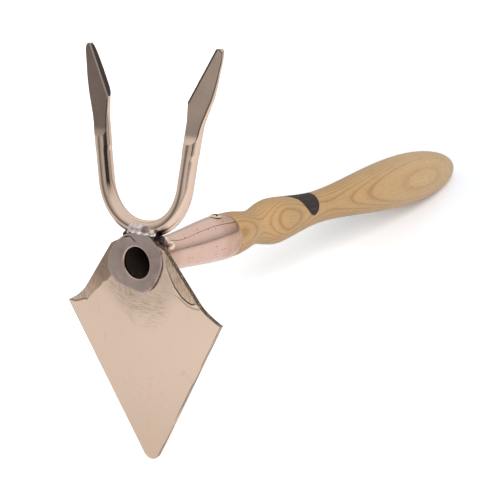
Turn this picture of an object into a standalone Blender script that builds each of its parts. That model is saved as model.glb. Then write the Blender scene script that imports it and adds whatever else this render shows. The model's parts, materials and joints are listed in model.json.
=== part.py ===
"""Double hoe: a hand tool with a pointed hoe blade on one side and a two-tine fork on the other.

All sizes are in metres. The pieces are modelled in the tool's own frame: the origin is the centre of
the socket's mouth, +Y runs down the socket into the handle, +Z points at the fork and -Z at the blade.
An empty then leans the whole tool back until it rests on the blade's tip and the handle's end.
"""

import math

import bmesh
import bpy
from mathutils import Matrix, Vector

MM = 0.001
GAP = 0.3 * MM                      # between pieces that seat on each other

# Socket: a sheet rolled into a tube that flares to take the handle
MOUTH_RADIUS = 8.7 * MM             # open hole at the front
TUBE_RADIUS = 10.1 * MM             # outside, at the narrow front end
SOCKET_WALL = 1.3 * MM
SOCKET_LENGTH = 81 * MM             # mouth face to rim
FLARE_FROM_MOUTH = 24 * MM          # straight stretch before the flare
FLARE_END_FROM_RIM = 2.8 * MM
FLARE_RADIUS = 13.5 * MM            # outside, at the end of the flare
CRIMP_LENGTH = 4 * MM               # the rim is pressed in over this length
CRIMP_DEPTH = 0.6 * MM
SEAM_ANGLE = math.radians(38)       # from +Z towards +X
SEAM_WIDTH = 0.4 * MM

# Handle: turned wood, with a tenon inside the socket
TENON_LENGTH = 47 * MM
WOOD_PROUD = 0.25 * MM              # the shoulder stands above the rim
NECK_FROM_SHOULDER = 25.7 * MM
NECK_RADIUS = 10.5 * MM
SWELL_FROM_NECK = 23 * MM
SWELL_RADIUS = 14.2 * MM
GRIP_FROM_SWELL = 52 * MM
GRIP_RADIUS = 10.3 * MM
BULB_FROM_GRIP = 116 * MM
BULB_RADIUS = 18 * MM
END_FROM_BULB = 70 * MM
TENON_CHAMFER = 2 * MM
NECK_SKEW = 1.25                    # each skew moves the middle of a curve: above 1 it comes later
SWELL_SKEW = 0.95
GRIP_SKEW = 0.8
BULB_SKEW = 0.9

# Socket screw: raised countersunk head with a cross recess
SCREW_FROM_RIM = 9.5 * MM
SCREW_ANGLE = math.radians(5)       # from +Z towards +X
SCREW_HEAD_RADIUS = 3.7 * MM
SCREW_HEAD_RISE = 1.0 * MM
SCREW_SINK = 1.9 * MM               # height of the countersunk cone
SCREW_SHANK_RADIUS = 1.7 * MM
SCREW_LENGTH = 9 * MM               # below the head
RECESS_LENGTH = 4.4 * MM
RECESS_WIDTH = 1.0 * MM
RECESS_DEPTH = 1.5 * MM

# Blade: flat plate on the tube, leaning back towards its tip
BLADE_THICKNESS = 2.9 * MM
BLADE_LEAN = math.radians(3.3)
BLADE_SETBACK = 1.4 * MM            # front face behind the mouth face, at the axis
BLADE_WIDTH = 106 * MM
BLADE_REACH = 114.5 * MM            # axis to tip
BLADE_TIP_RADIUS = 6 * MM
SHOULDER_DROP = 28.5 * MM           # axis to the blade's corners
SHOULDER_SLOPE = math.radians(25)
NECK_WIDTH = 37.4 * MM              # of the plate, where it leaves the collar
NECK_RISE = 8.8 * MM                # height of that width above the axis
NECK_SLOPE = math.radians(36.7)     # of the plate's sides, from the vertical
SCALLOP_DROP = 18 * MM              # where the sides begin to sweep out
BLADE_TOP = 12 * MM                 # top edge, hidden in the collar
BLADE_TOP_WIDTH = 24 * MM

# Collar: weld metal ground flat round the mouth
COLLAR_OUTLINE = (                  # uneven: radii in millimetres at even turns from +X towards +Z
    17.0, 18.4, 17.5, 18.4, 17.3, 16.9, 17.3, 17.0, 17.7,
    18.9, 19.9, 18.4, 15.7, 15.0, 16.5, 16.4, 16.2, 16.3,
)
COLLAR_SEAT = 1.025                 # its seat on the blade, as a share of the blade's outline
COLLAR_LIP = 1.2 * MM               # covers the end of the tube
MOUTH_CHAMFER = 0.6 * MM
FACET_TURN = math.radians(38)       # the bevel ground on its right side, from the middle plane
FACET_FROM_AXIS = 16.3 * MM         # where it meets the ground face

# Fork: one round bar bent to a U, its two ends forged and ground to leaves
BAR_RADIUS = 4.55 * MM
FORK_SEAT = 2.95 * MM               # weld between the tube and the bar
FORK_SETBACK = 7.9 * MM             # middle of the bar behind the mouth face
FORK_TIP = 114.8 * MM               # axis to the tips
FORK_LEAN = math.radians(3.5)       # of the tines, back over the handle
FORK_SWEEP = 3.9 * MM               # the tips curve this much further back
TINE_SPLAY = math.radians(8.4)      # of each tine, outwards
BEND_WIDTH = 54 * MM                # between the bar's middles at the end of the bend
BEND_HEIGHT = 24.4 * MM
BEND_FLATNESS = 0.287               # pull of the curve's handle at the bottom, as a share of the width
BEND_FULLNESS = 0.57                # pull of the handle at the tine, as a share of the height
LEAF_LENGTH = 55 * MM
LEAF_WIDTH = 13.4 * MM
LEAF_DEPTH = 7 * MM                 # before it is ground
LEAF_FLARE = 7.15 * MM              # the tip stands this far outside the line of the tine
LEAF_FACE_SLOPE = math.radians(9.7)
LEAF_TIP_THICKNESS = 2.4 * MM
LEAF_TIP_WIDTH = 0.8 * MM
LEAF_EDGE_SLOPE = math.radians(29.2)
LEAF_STATIONS = (                   # shares of the leaf's length, flare, width and flattening
    (0.185, 0.0, 0.69, 0.35),
    (0.295, 0.0, 0.715, 0.65),
    (0.385, 0.0, 0.813, 0.85),
    (0.467, 0.0, 0.91, 1.0),
    (0.549, 0.01, 0.993, 1.1),
    (0.645, 0.144, 0.94, 1.25),
    (0.731, 0.291, 0.843, 1.4),
    (0.822, 0.476, 0.675, 1.55),
    (0.913, 0.722, 0.418, 1.7),
    (0.967, 0.898, 0.224, 1.8),
    (1.0, 1.0, 0.075, 1.86),
)
RUN_OUT_HEIGHT = 66 * MM            # axis to where the grinding wheel begins to leave the bar
RUN_OUT_RADIUS = 8 * MM

# Welds
FRONT_WELD_WIDTH = 17 * MM          # between the fork and the top of the collar
FRONT_WELD_HEIGHT = 5.8 * MM
FRONT_WELD_DEPTH = 5.2 * MM
FRONT_WELD_SHIFT = 2.5 * MM         # towards +X
FRONT_WELD_BACK = 2.0 * MM          # its middle behind the mouth face
FRONT_WELD_RISE = 2.1 * MM          # its middle above the top of the collar
BLADE_WELD_LEG = 4.2 * MM           # of the fillet behind the blade, under the tube
SADDLE_WELD_WIDTH = 23 * MM         # under the fork, over the top of the tube
SADDLE_WELD_LENGTH = 13 * MM
SADDLE_WELD_HEIGHT = 15 * MM
SADDLE_WELD_BACK = 7.2 * MM         # its middle behind the blade
SADDLE_WELD_RISE = 12.8 * MM        # its middle above the axis
SADDLE_WELD_FOOT = 6.5 * MM         # its lowest point above the axis

# Fineness of the round surfaces
TURNED_STEPS = 36
BAR_SIDES = 20
SCREW_STEPS = 20
STRETCH_STEPS = 8                   # along each curve of the handle, the socket and the blade
BEND_STEPS = 12
TINE_STEPS = 3
ARC_STEPS = 5                       # of the screw's head and the blade's tip
BEAD_STEPS = 3
LUMP_SEGMENTS = 18
LUMP_RINGS = 12
STEEPEST_LEAN = math.radians(45)    # end of the range in which the lean is searched
HALVINGS = 40                       # of that range
MERGE = 0.00001
FAR = 400 * MM                      # a cutter that reaches past everything

ALONG_Y = (-math.pi / 2, 0, 0)      # turns local Z into +Y
FACING_FRONT = (math.pi / 2, 0, 0)  # turns local Z into -Y and local Y into +Z
SIDEWAYS = Matrix.Rotation(math.radians(120), 4, Vector((1, 1, 1)))    # local X, Y and Z into +Y, +Z and +X


def clear_scene():
    """Start from an empty file."""
    for old in list(bpy.data.objects):
        bpy.data.objects.remove(old, do_unlink=True)
    for old in list(bpy.data.collections):
        bpy.data.collections.remove(old)


def collection(name):
    """A new collection linked to the scene."""
    made = bpy.data.collections.new(name)
    bpy.context.scene.collection.children.link(made)
    return made


def material(name, colour, roughness, metallic):
    """A Principled material of one finish."""
    made = bpy.data.materials.new(name)
    made.use_nodes = True
    shader = made.node_tree.nodes["Principled BSDF"]
    shader.inputs["Base Color"].default_value = (*colour, 1)
    shader.inputs["Roughness"].default_value = roughness
    shader.inputs["Metallic"].default_value = metallic
    made.diffuse_color = (*colour, 1)
    return made


def wood():
    """Oiled pale hardwood."""
    return material("pale_wood", (0.58, 0.35, 0.17), 0.5, 0)


def bronze():
    """Polished bronze of the blade and the fork."""
    return material("polished_bronze", (0.66, 0.47, 0.36), 0.16, 1)


def copper():
    """Polished copper sheet of the socket."""
    return material("polished_copper", (0.72, 0.47, 0.37), 0.2, 1)


def ground_bronze():
    """Weld metal ground flat and left grey."""
    return material("ground_bronze", (0.25, 0.2, 0.17), 0.45, 1)


def weld_metal():
    """Bright rippled weld."""
    return material("weld_metal", (0.6, 0.55, 0.5), 0.3, 1)


def brass():
    """Brass of the screw."""
    return material("brass", (0.72, 0.55, 0.25), 0.25, 1)


def place(made, parent, where=(0, 0, 0), turn=(0, 0, 0)):
    """Hang an object on its parent at a place and a turn."""
    made.parent = parent
    made.location = where
    made.rotation_euler = turn
    return made


def mesh_object(name, mesh, group, finish=None):
    """An object for a mesh, in a collection, with a finish."""
    made = bpy.data.objects.new(name, mesh)
    group.objects.link(made)
    if finish:
        mesh.materials.append(finish)
    return made


def as_cutter(made):
    """Mark an object as a tool that only cuts."""
    made.hide_render = True
    made.display_type = "WIRE"
    return made


def cut(made, cutter):
    """Cut an object by another."""
    boolean = made.modifiers.new(cutter.name, "BOOLEAN")
    boolean.operation = "DIFFERENCE"
    boolean.solver = "EXACT"
    boolean.object = cutter


def smooth(mesh, sharp=math.radians(35)):
    """Shade a mesh smooth but for its sharp edges."""
    mesh.shade_smooth()
    mesh.set_sharp_from_angle(angle=sharp)


def mirrored(made, halve=False):
    """Mirror an object across the middle plane of the tool, first cut off at that plane if it crosses it."""
    mirror = made.modifiers.new("Mirror", "MIRROR")
    mirror.use_axis = (True, False, False)
    mirror.use_bisect_axis = (halve, False, False)
    mirror.merge_threshold = MERGE
    return made


def turned(name, profile, group, finish=None, steps=TURNED_STEPS, closed=False):
    """A turned piece: (radius, height) pairs that run down the outer side, spun about local Z."""
    mesh = bpy.data.meshes.new(name)
    count = len(profile)
    edges = [(i, i + 1) for i in range(count - 1)]
    if closed:
        edges.append((count - 1, 0))
    mesh.from_pydata([(radius, 0, height) for radius, height in profile], edges, [])
    made = mesh_object(name, mesh, group, finish)
    screw = made.modifiers.new("Turn", "SCREW")
    screw.steps = steps
    screw.render_steps = steps
    screw.use_merge_vertices = True
    screw.merge_threshold = MERGE
    screw.use_smooth_shade = True
    return made


def box(name, size, centre, group):
    """A box cutter of a size, about a centre in its own frame."""
    mesh = bpy.data.meshes.new(name)
    shape = bmesh.new()
    bmesh.ops.create_cube(shape, size=1)
    bmesh.ops.scale(shape, vec=size, verts=shape.verts)
    bmesh.ops.translate(shape, vec=centre, verts=shape.verts)
    shape.to_mesh(mesh)
    shape.free()
    return as_cutter(mesh_object(name, mesh, group))


def plate(name, outline, thickness, group, finish=None):
    """A flat plate from an outline in its own XY plane, extruded both ways from the plane."""
    curve = bpy.data.curves.new(name, "CURVE")
    curve.dimensions = "2D"
    curve.fill_mode = "BOTH"
    curve.extrude = thickness / 2
    spline = curve.splines.new("POLY")
    spline.points.add(len(outline) - 1)
    for point, (x, y) in zip(spline.points, outline):
        point.co = (x, y, 0, 1)
    spline.use_cyclic_u = True
    drawn = bpy.data.objects.new(name + "_outline", curve)
    group.objects.link(drawn)
    bpy.context.view_layer.update()
    seen = drawn.evaluated_get(bpy.context.evaluated_depsgraph_get())
    mesh = bpy.data.meshes.new_from_object(seen)
    shape = bmesh.new()
    shape.from_mesh(mesh)
    bmesh.ops.remove_doubles(shape, verts=shape.verts, dist=MERGE)
    bmesh.ops.recalc_face_normals(shape, faces=shape.faces)
    shape.to_mesh(mesh)
    shape.free()
    bpy.data.objects.remove(drawn)
    mesh.name = name
    return mesh_object(name, mesh, group, finish)


def ease(share, skew=1.0):
    """A smooth step from 0 to 1, its middle moved by the skew."""
    share = min(max(share, 0), 1) ** skew
    return share * share * (3 - 2 * share)


def socket_radius(along):
    """Outside radius of the socket at a distance behind the mouth face."""
    flare_end = SOCKET_LENGTH - FLARE_END_FROM_RIM
    flare = ease((along - FLARE_FROM_MOUTH) / (flare_end - FLARE_FROM_MOUTH))
    radius = TUBE_RADIUS + (FLARE_RADIUS - TUBE_RADIUS) * flare
    crimp = max(0, along - (SOCKET_LENGTH - CRIMP_LENGTH)) / CRIMP_LENGTH
    return radius - CRIMP_DEPTH * crimp * crimp


def steps_between(first, last, count):
    """Evenly spaced values from first to last."""
    return [first + (last - first) * i / count for i in range(count + 1)]


def socket_stations(start, end):
    """Distances along the socket where its profile has a point."""
    crimp_start = SOCKET_LENGTH - CRIMP_LENGTH
    flare = steps_between(FLARE_FROM_MOUTH, crimp_start, STRETCH_STEPS)
    crimp = steps_between(crimp_start, SOCKET_LENGTH, BEAD_STEPS)[1:]
    inside = [along for along in flare + crimp if start < along < end]
    return [start] + inside + [end]


def socket(parent, group, cutters, screw_cutter, finish):
    """Rolled socket: a flared tube, open at both ends, with a butted seam."""
    stations = socket_stations(COLLAR_LIP + GAP, SOCKET_LENGTH)
    outer = [(socket_radius(along), along) for along in reversed(stations)]
    inner = [(socket_radius(along) - SOCKET_WALL, along) for along in stations]
    made = place(turned("socket", outer + inner, group, finish, closed=True), parent, turn=ALONG_Y)
    seam = box("seam_cutter", (SEAM_WIDTH, FAR, FAR), (0, 0, FAR / 2), cutters)
    cut(made, place(seam, parent, turn=(0, SEAM_ANGLE, 0)))
    cut(made, screw_cutter)
    return made


def handle_profile():
    """The handle's (radius, height) pairs, from its far end down to the tenon's face."""
    shoulder = SOCKET_LENGTH + GAP
    neck = shoulder + NECK_FROM_SHOULDER
    swell = neck + SWELL_FROM_NECK
    grip = swell + GRIP_FROM_SWELL
    bulb = grip + BULB_FROM_GRIP
    shoulder_radius = socket_radius(SOCKET_LENGTH) + WOOD_PROUD
    points = []
    for turn in steps_between(math.pi / 2, 0, STRETCH_STEPS):
        points.append((BULB_RADIUS * math.cos(turn), bulb + END_FROM_BULB * math.sin(turn)))
    points[0] = (0, bulb + END_FROM_BULB)
    stretches = (
        (grip, GRIP_RADIUS, bulb, BULB_RADIUS, BULB_SKEW),
        (swell, SWELL_RADIUS, grip, GRIP_RADIUS, GRIP_SKEW),
        (neck, NECK_RADIUS, swell, SWELL_RADIUS, SWELL_SKEW),
        (shoulder, shoulder_radius, neck, NECK_RADIUS, NECK_SKEW),
    )
    for start, start_radius, end, end_radius, skew in stretches:
        for along in steps_between(end, start, STRETCH_STEPS)[1:]:
            share = ease((along - start) / (end - start), skew)
            points.append((start_radius + (end_radius - start_radius) * share, along))
    tenon_end = SOCKET_LENGTH - TENON_LENGTH
    bore_gap = SOCKET_WALL + GAP
    tenon = socket_stations(tenon_end + TENON_CHAMFER, SOCKET_LENGTH)
    points.append((socket_radius(SOCKET_LENGTH) - bore_gap, shoulder))
    points += [(socket_radius(along) - bore_gap, along) for along in reversed(tenon)]
    points.append((socket_radius(tenon_end) - bore_gap - TENON_CHAMFER, tenon_end))
    points.append((0, tenon_end))
    return points


def handle(parent, group, screw_cutter, finish):
    """Turned handle: tenon, shoulder, neck, swell, grip and bulb."""
    made = place(turned("handle", handle_profile(), group, finish), parent, turn=ALONG_Y)
    cut(made, screw_cutter)
    return made


def screw_profile(clearance):
    """Raised countersunk screw, or the hole that it goes in, from its top down."""
    head = SCREW_HEAD_RADIUS + clearance
    shank = SCREW_SHANK_RADIUS + clearance
    tip = -SCREW_SINK - SCREW_LENGTH - clearance
    points = []
    if clearance:
        points = [(0, FLARE_RADIUS), (head, FLARE_RADIUS)]
    else:
        for turn in steps_between(math.pi / 2, 0, ARC_STEPS)[:-1]:
            points.append((head * math.cos(turn), SCREW_HEAD_RISE * math.sin(turn)))
        points[0] = (0, SCREW_HEAD_RISE)
    points += [(head, 0), (shank, -SCREW_SINK), (shank, tip + shank), (0, tip)]
    return points


def screw_place(parent, made):
    """Stand a screw shape on the socket's wall, its axis through the socket's axis."""
    along = SOCKET_LENGTH - SCREW_FROM_RIM
    radius = socket_radius(along)
    where = (radius * math.sin(SCREW_ANGLE), along, radius * math.cos(SCREW_ANGLE))
    return place(made, parent, where, (0, SCREW_ANGLE, 0))


def socket_screw(parent, group, cutters, finish):
    """Brass screw with a cross recess."""
    made = screw_place(parent, turned("socket_screw", screw_profile(0), group, finish, SCREW_STEPS))
    for index, size in enumerate(((RECESS_LENGTH, RECESS_WIDTH), (RECESS_WIDTH, RECESS_LENGTH))):
        slot = box(f"recess_cutter_{index}", (*size, RECESS_DEPTH * 2), (0, 0, SCREW_HEAD_RISE), cutters)
        cut(made, screw_place(parent, slot))
    return made


def screw_hole(parent, cutters):
    """Countersunk hole through the socket into the tenon."""
    shape = turned("screw_hole_cutter", screw_profile(GAP), cutters, steps=SCREW_STEPS)
    return screw_place(parent, as_cutter(shape))


def blade_outline():
    """Blade outline in its own plane: x across, y up from the socket's axis."""
    corner = Vector((BLADE_WIDTH / 2, -SHOULDER_DROP))
    neck = Vector((NECK_WIDTH / 2, NECK_RISE))
    sweep = Vector((neck.x + math.tan(NECK_SLOPE) * (NECK_RISE + SCALLOP_DROP), -SCALLOP_DROP))
    rise = math.tan(SHOULDER_SLOPE)
    fall = 1 / math.tan(NECK_SLOPE)
    turn_x = (corner.y + rise * corner.x - sweep.y - fall * sweep.x) / (rise - fall)
    turn = Vector((turn_x, sweep.y - fall * (turn_x - sweep.x)))
    right = [Vector((BLADE_TOP_WIDTH / 2, BLADE_TOP)), neck]
    for share in steps_between(0, 1, STRETCH_STEPS):
        right.append(sweep.lerp(turn, share).lerp(turn.lerp(corner, share), share))
    tip_centre = -BLADE_REACH + BLADE_TIP_RADIUS
    away = Vector((0, tip_centre)) - corner
    lean = math.atan2(-away.x, -away.y) - math.asin(BLADE_TIP_RADIUS / away.length)
    for angle in steps_between(math.pi / 2 - lean, 0, ARC_STEPS)[:-1]:
        right.append(Vector((BLADE_TIP_RADIUS * math.sin(angle),
                             tip_centre - BLADE_TIP_RADIUS * math.cos(angle))))
    left = [Vector((-point.x, point.y)) for point in reversed(right)]
    return right + [Vector((0, -BLADE_REACH))] + left


def on_blade(parent, made, back=0.0):
    """Lay an object in the plane of the blade's front face, or behind that plane."""
    where = (0, BLADE_SETBACK + back * math.cos(BLADE_LEAN), back * math.sin(BLADE_LEAN))
    return place(made, parent, where, (math.pi / 2 + BLADE_LEAN, 0, 0))


def tube_cutter(name, radius, parent, cutters, start=-FAR):
    """Round cutter along the socket's axis."""
    profile = [(0, FAR), (radius, FAR), (radius, start), (0, start)]
    return place(as_cutter(turned(name, profile, cutters)), parent, turn=ALONG_Y)


def hoe_blade(parent, group, cutters, finish):
    """Pointed blade with swept shoulders, on the front of the tube."""
    made = plate("hoe_blade", blade_outline(), BLADE_THICKNESS, group, finish)
    on_blade(parent, made, BLADE_THICKNESS / 2)
    cut(made, tube_cutter("blade_hole_cutter", TUBE_RADIUS + GAP, parent, cutters))
    return made


def collar_outline(clearance=0.0):
    """The collar's uneven outline: (x, z) about the axis, with a cubic's middle between its radii."""
    count = len(COLLAR_OUTLINE)
    points = []
    for i in range(count):
        before, here, after, last = (COLLAR_OUTLINE[(i + step) % count] for step in (-1, 0, 1, 2))
        between = (9 * (here + after) - before - last) / 16
        for half, radius in enumerate((here, between)):
            angle = math.tau * (i + half / 2) / count
            reach = radius * MM + clearance
            points.append((reach * math.cos(angle), reach * math.sin(angle)))
    return points


def mouth_collar(parent, group, cutters, bar, finish):
    """Ground ring round the mouth, seated on the blade and over its top, lipped over the tube."""
    depth = BLADE_SETBACK + BLADE_THICKNESS
    made = plate("mouth_collar", collar_outline(), depth, group, finish)
    made.data.transform(Matrix.Translation((0, 0, -depth / 2)))
    place(made, parent, turn=FACING_FRONT)
    behind = box("collar_back_cutter", (FAR, FAR, FAR), (0, 0, -FAR / 2), cutters)
    cut(made, on_blade(parent, behind, BLADE_THICKNESS))
    seat = plate("collar_seat_cutter", [point * COLLAR_SEAT for point in blade_outline()], FAR, cutters)
    seat.data.transform(Matrix.Translation((0, 0, GAP - FAR / 2)))
    cut(made, on_blade(parent, as_cutter(seat)))
    mouth = [(0, FAR), (MOUTH_RADIUS, FAR), (MOUTH_RADIUS, MOUTH_CHAMFER),
             (MOUTH_RADIUS + MOUTH_CHAMFER * 2, -MOUTH_CHAMFER), (0, -MOUTH_CHAMFER)]
    cut(made, place(as_cutter(turned("mouth_cutter", mouth, cutters)), parent, turn=ALONG_Y))
    cut(made, tube_cutter("lip_cutter", TUBE_RADIUS + GAP, parent, cutters, COLLAR_LIP))
    facet = box("facet_cutter", (FAR, FAR, FAR), (FAR / 2, 0, 0), cutters)
    facet.data.transform(Matrix.Rotation(-FACET_TURN, 4, "Y"))
    cut(made, place(facet, parent, (FACET_FROM_AXIS, 0, 0), FACING_FRONT))
    cut(made, bar)
    return made


def bend_points():
    """Middle line of the bar's bend, from the bottom of the U to the foot of the tine: (x, z)."""
    bottom = Vector((0, TUBE_RADIUS + FORK_SEAT + BAR_RADIUS))
    end = bottom + Vector((BEND_WIDTH / 2, BEND_HEIGHT))
    from_bottom = bottom + Vector((BEND_WIDTH * BEND_FLATNESS, 0))
    rise = BEND_HEIGHT * BEND_FULLNESS
    to_end = end - Vector((rise * math.tan(TINE_SPLAY), rise))
    points = []
    for share in steps_between(0, 1, BEND_STEPS):
        rest = 1 - share
        points.append(bottom * rest ** 3 + from_bottom * 3 * rest * rest * share
                      + to_end * 3 * rest * share * share + end * share ** 3)
    return points


def tine_stations():
    """Rings of one tine: (x, z, half width, half depth), from the bottom of the U to the tip."""
    rings = [(point.x, point.y, BAR_RADIUS, BAR_RADIUS) for point in bend_points()]
    foot_x, foot_z = rings[-1][:2]
    leaf_foot = FORK_TIP - LEAF_LENGTH
    splay = math.tan(TINE_SPLAY)
    for z in steps_between(foot_z, leaf_foot, TINE_STEPS)[1:]:
        rings.append((foot_x + splay * (z - foot_z), z, BAR_RADIUS, BAR_RADIUS))
    for share, flare, width, flat in LEAF_STATIONS:
        z = leaf_foot + LEAF_LENGTH * share
        x = foot_x + splay * (z - foot_z) + LEAF_FLARE * flare
        half_depth = BAR_RADIUS + (LEAF_DEPTH / 2 - BAR_RADIUS) * flat
        rings.append((x, z, LEAF_WIDTH / 2 * width, half_depth))
    return rings


def fork_depth(z):
    """How far the middle of the bar lies behind the mouth face at a height."""
    seat = TUBE_RADIUS + FORK_SEAT + BAR_RADIUS
    above = (z - seat) / (FORK_TIP - seat)
    return FORK_SETBACK + (z - seat) * math.tan(FORK_LEAN) + FORK_SWEEP * above * abs(above)


def bar_mesh(name, clearance=0.0, rings=None):
    """Half of the bar, open at the middle of the U, as a loft through its rings."""
    rings = rings or tine_stations()
    mesh = bpy.data.meshes.new(name)
    shape = bmesh.new()
    loops = []
    for index, (x, z, half_width, half_depth) in enumerate(rings):
        before = rings[max(index - 1, 0)]
        after = rings[min(index + 1, len(rings) - 1)]
        run = Vector((after[0] - before[0], 0, after[1] - before[1])).normalized()
        across = Vector((run.z, 0, -run.x))
        if index == 0:
            across = Vector((0, 0, -1))
        middle = Vector((x, fork_depth(z), z))
        loop = []
        for side in range(BAR_SIDES):
            angle = math.tau * side / BAR_SIDES
            out = across * (half_width + clearance) * math.cos(angle)
            back = Vector((0, (half_depth + clearance) * math.sin(angle), 0))
            loop.append(shape.verts.new(middle + out + back))
        loops.append(loop)
    for first, second in zip(loops, loops[1:]):
        for side in range(BAR_SIDES):
            following = (side + 1) % BAR_SIDES
            shape.faces.new((first[side], second[side], second[following], first[following]))
    shape.faces.new(loops[-1])
    bmesh.ops.recalc_face_normals(shape, faces=shape.faces)
    shape.to_mesh(mesh)
    shape.free()
    return mesh


def leaf_face_cutter(parent, cutters):
    """Grinds the flat front faces of both leaves, down to the round run-out of the wheel."""
    tip_z, _, tip_half_depth = tine_stations()[-1][1:]
    face_depth = fork_depth(tip_z) + tip_half_depth - LEAF_TIP_THICKNESS
    run_out = (RUN_OUT_HEIGHT - tip_z) / math.cos(LEAF_FACE_SLOPE)
    outline = [(-FAR, FAR), (0, FAR)]
    for turn in steps_between(0, math.pi / 2, ARC_STEPS):
        outline.append((-RUN_OUT_RADIUS * (1 - math.cos(turn)), run_out - RUN_OUT_RADIUS * math.sin(turn)))
    outline.append((-FAR, run_out - RUN_OUT_RADIUS))
    made = as_cutter(plate("leaf_face_cutter", outline, FAR, cutters))
    made.data.transform(SIDEWAYS)
    return place(made, parent, (0, face_depth, tip_z), (-LEAF_FACE_SLOPE, 0, 0))


def leaf_edge_cutter(parent, cutters):
    """Grinds the tapering inner edges of both leaves."""
    tip_x, tip_z = tine_stations()[-1][:2]
    block = box("leaf_edge_cutter", (FAR, FAR, FAR), (-FAR / 2, 0, 0), cutters)
    inner = Matrix.Translation((tip_x - LEAF_TIP_WIDTH / 2, 0, tip_z))
    block.data.transform(inner @ Matrix.Rotation(LEAF_EDGE_SLOPE, 4, "Y"))
    return place(mirrored(block, halve=True), parent)


def fork(parent, group, cutters, finish):
    """U-bent bar with two leaf-shaped tines."""
    mesh = bar_mesh("fork")
    smooth(mesh)
    made = place(mesh_object("fork", mesh, group, finish), parent)
    mirrored(made)
    cut(made, leaf_face_cutter(parent, cutters))
    cut(made, leaf_edge_cutter(parent, cutters))
    return made


def bar_cutter(parent, cutters):
    """The bar's bend with clearance all round, for the welds that lie against it."""
    rings = tine_stations()[:BEND_STEPS + 1]
    mesh = bar_mesh("bar_cutter", GAP, rings)
    made = place(as_cutter(mesh_object("bar_cutter", mesh, cutters)), parent)
    return mirrored(made)


def lump(name, size, parent, where, group, finish):
    """A rounded lump of weld."""
    mesh = bpy.data.meshes.new(name)
    shape = bmesh.new()
    bmesh.ops.create_uvsphere(shape, u_segments=LUMP_SEGMENTS, v_segments=LUMP_RINGS, radius=0.5)
    bmesh.ops.scale(shape, vec=size, verts=shape.verts)
    shape.to_mesh(mesh)
    shape.free()
    smooth(mesh)
    return place(mesh_object(name, mesh, group, finish), parent, where)


def fork_weld_front(parent, group, cutters, bar, finish):
    """Weld in the groove between the front of the bar and the top of the collar."""
    collar_top = max(z for _, z in collar_outline())
    where = (FRONT_WELD_SHIFT, FRONT_WELD_BACK, collar_top + FRONT_WELD_RISE)
    size = (FRONT_WELD_WIDTH, FRONT_WELD_DEPTH, FRONT_WELD_HEIGHT)
    made = lump("fork_weld_front", size, parent, where, group, finish)
    collar = plate("collar_cutter", collar_outline(GAP), FAR, cutters)
    cut(made, place(as_cutter(collar), parent, turn=FACING_FRONT))
    cut(made, bar)
    return made


def fork_weld_back(parent, group, cutters, bar, finish):
    """Weld that saddles the tube behind the blade and carries the bar."""
    where = (0, BLADE_SETBACK + BLADE_THICKNESS + SADDLE_WELD_BACK, SADDLE_WELD_RISE)
    size = (SADDLE_WELD_WIDTH, SADDLE_WELD_LENGTH, SADDLE_WELD_HEIGHT)
    made = lump("fork_weld_back", size, parent, where, group, finish)
    cut(made, tube_cutter("saddle_cutter", TUBE_RADIUS + GAP, parent, cutters))
    cut(made, bar)
    front = box("saddle_front_cutter", (FAR, FAR, FAR), (0, 0, FAR / 2 - GAP), cutters)
    cut(made, on_blade(parent, front, BLADE_THICKNESS))
    foot = box("saddle_foot_cutter", (FAR, FAR, FAR), (0, 0, SADDLE_WELD_FOOT - FAR / 2), cutters)
    cut(made, place(foot, parent))
    return made


def blade_weld(parent, group, cutters, finish):
    """Fillet of weld between the back of the blade and the tube, below the saddle."""
    back = BLADE_SETBACK + BLADE_THICKNESS
    inner = TUBE_RADIUS + GAP
    profile = []
    for turn in steps_between(math.pi / 2, 0, BEAD_STEPS):
        out = BLADE_WELD_LEG * math.cos(turn)
        profile.append((inner + out, back + BLADE_WELD_LEG * math.sin(turn)))
    profile += [(inner + BLADE_WELD_LEG, BLADE_SETBACK), (inner, BLADE_SETBACK)]
    made = place(turned("blade_weld", profile, group, finish, closed=True), parent, turn=ALONG_Y)
    front = box("fillet_front_cutter", (FAR, FAR, FAR), (0, 0, FAR / 2 - GAP), cutters)
    cut(made, on_blade(parent, front, BLADE_THICKNESS))
    top = box("fillet_top_cutter", (FAR, FAR, FAR), (0, 0, SADDLE_WELD_FOOT - GAP + FAR / 2), cutters)
    cut(made, place(top, parent))
    return made


def tool_points(made):
    """The points of a finished piece, in the tool's frame, before the tool is leaned back."""
    seen = made.evaluated_get(bpy.context.evaluated_depsgraph_get())
    mesh = seen.to_mesh()
    points = [made.matrix_world @ vertex.co for vertex in mesh.vertices]
    seen.to_mesh_clear()
    return points


def lowest(points, lean):
    """Lowest height of points that are turned back about X."""
    return min(point.z * math.cos(lean) - point.y * math.sin(lean) for point in points)


def rest_on_floor(tool, blade, wood_handle, pieces):
    """Lean the tool back until blade and handle touch the floor, with its box centred over the origin."""
    bpy.context.view_layer.update()
    blade_points = tool_points(blade)
    handle_points = tool_points(wood_handle)
    low, high = 0, STEEPEST_LEAN
    for _ in range(HALVINGS):
        lean = (low + high) / 2
        if lowest(blade_points, lean) < lowest(handle_points, lean):
            low = lean
        else:
            high = lean
    turn = Matrix.Rotation(-lean, 3, "X")
    points = [turn @ point for made in pieces for point in tool_points(made)]
    least = Vector(min(point[axis] for point in points) for axis in range(3))
    most = Vector(max(point[axis] for point in points) for axis in range(3))
    tool.rotation_euler = (-lean, 0, 0)
    tool.location = (-(least.x + most.x) / 2, -(least.y + most.y) / 2, -least.z)


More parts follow.
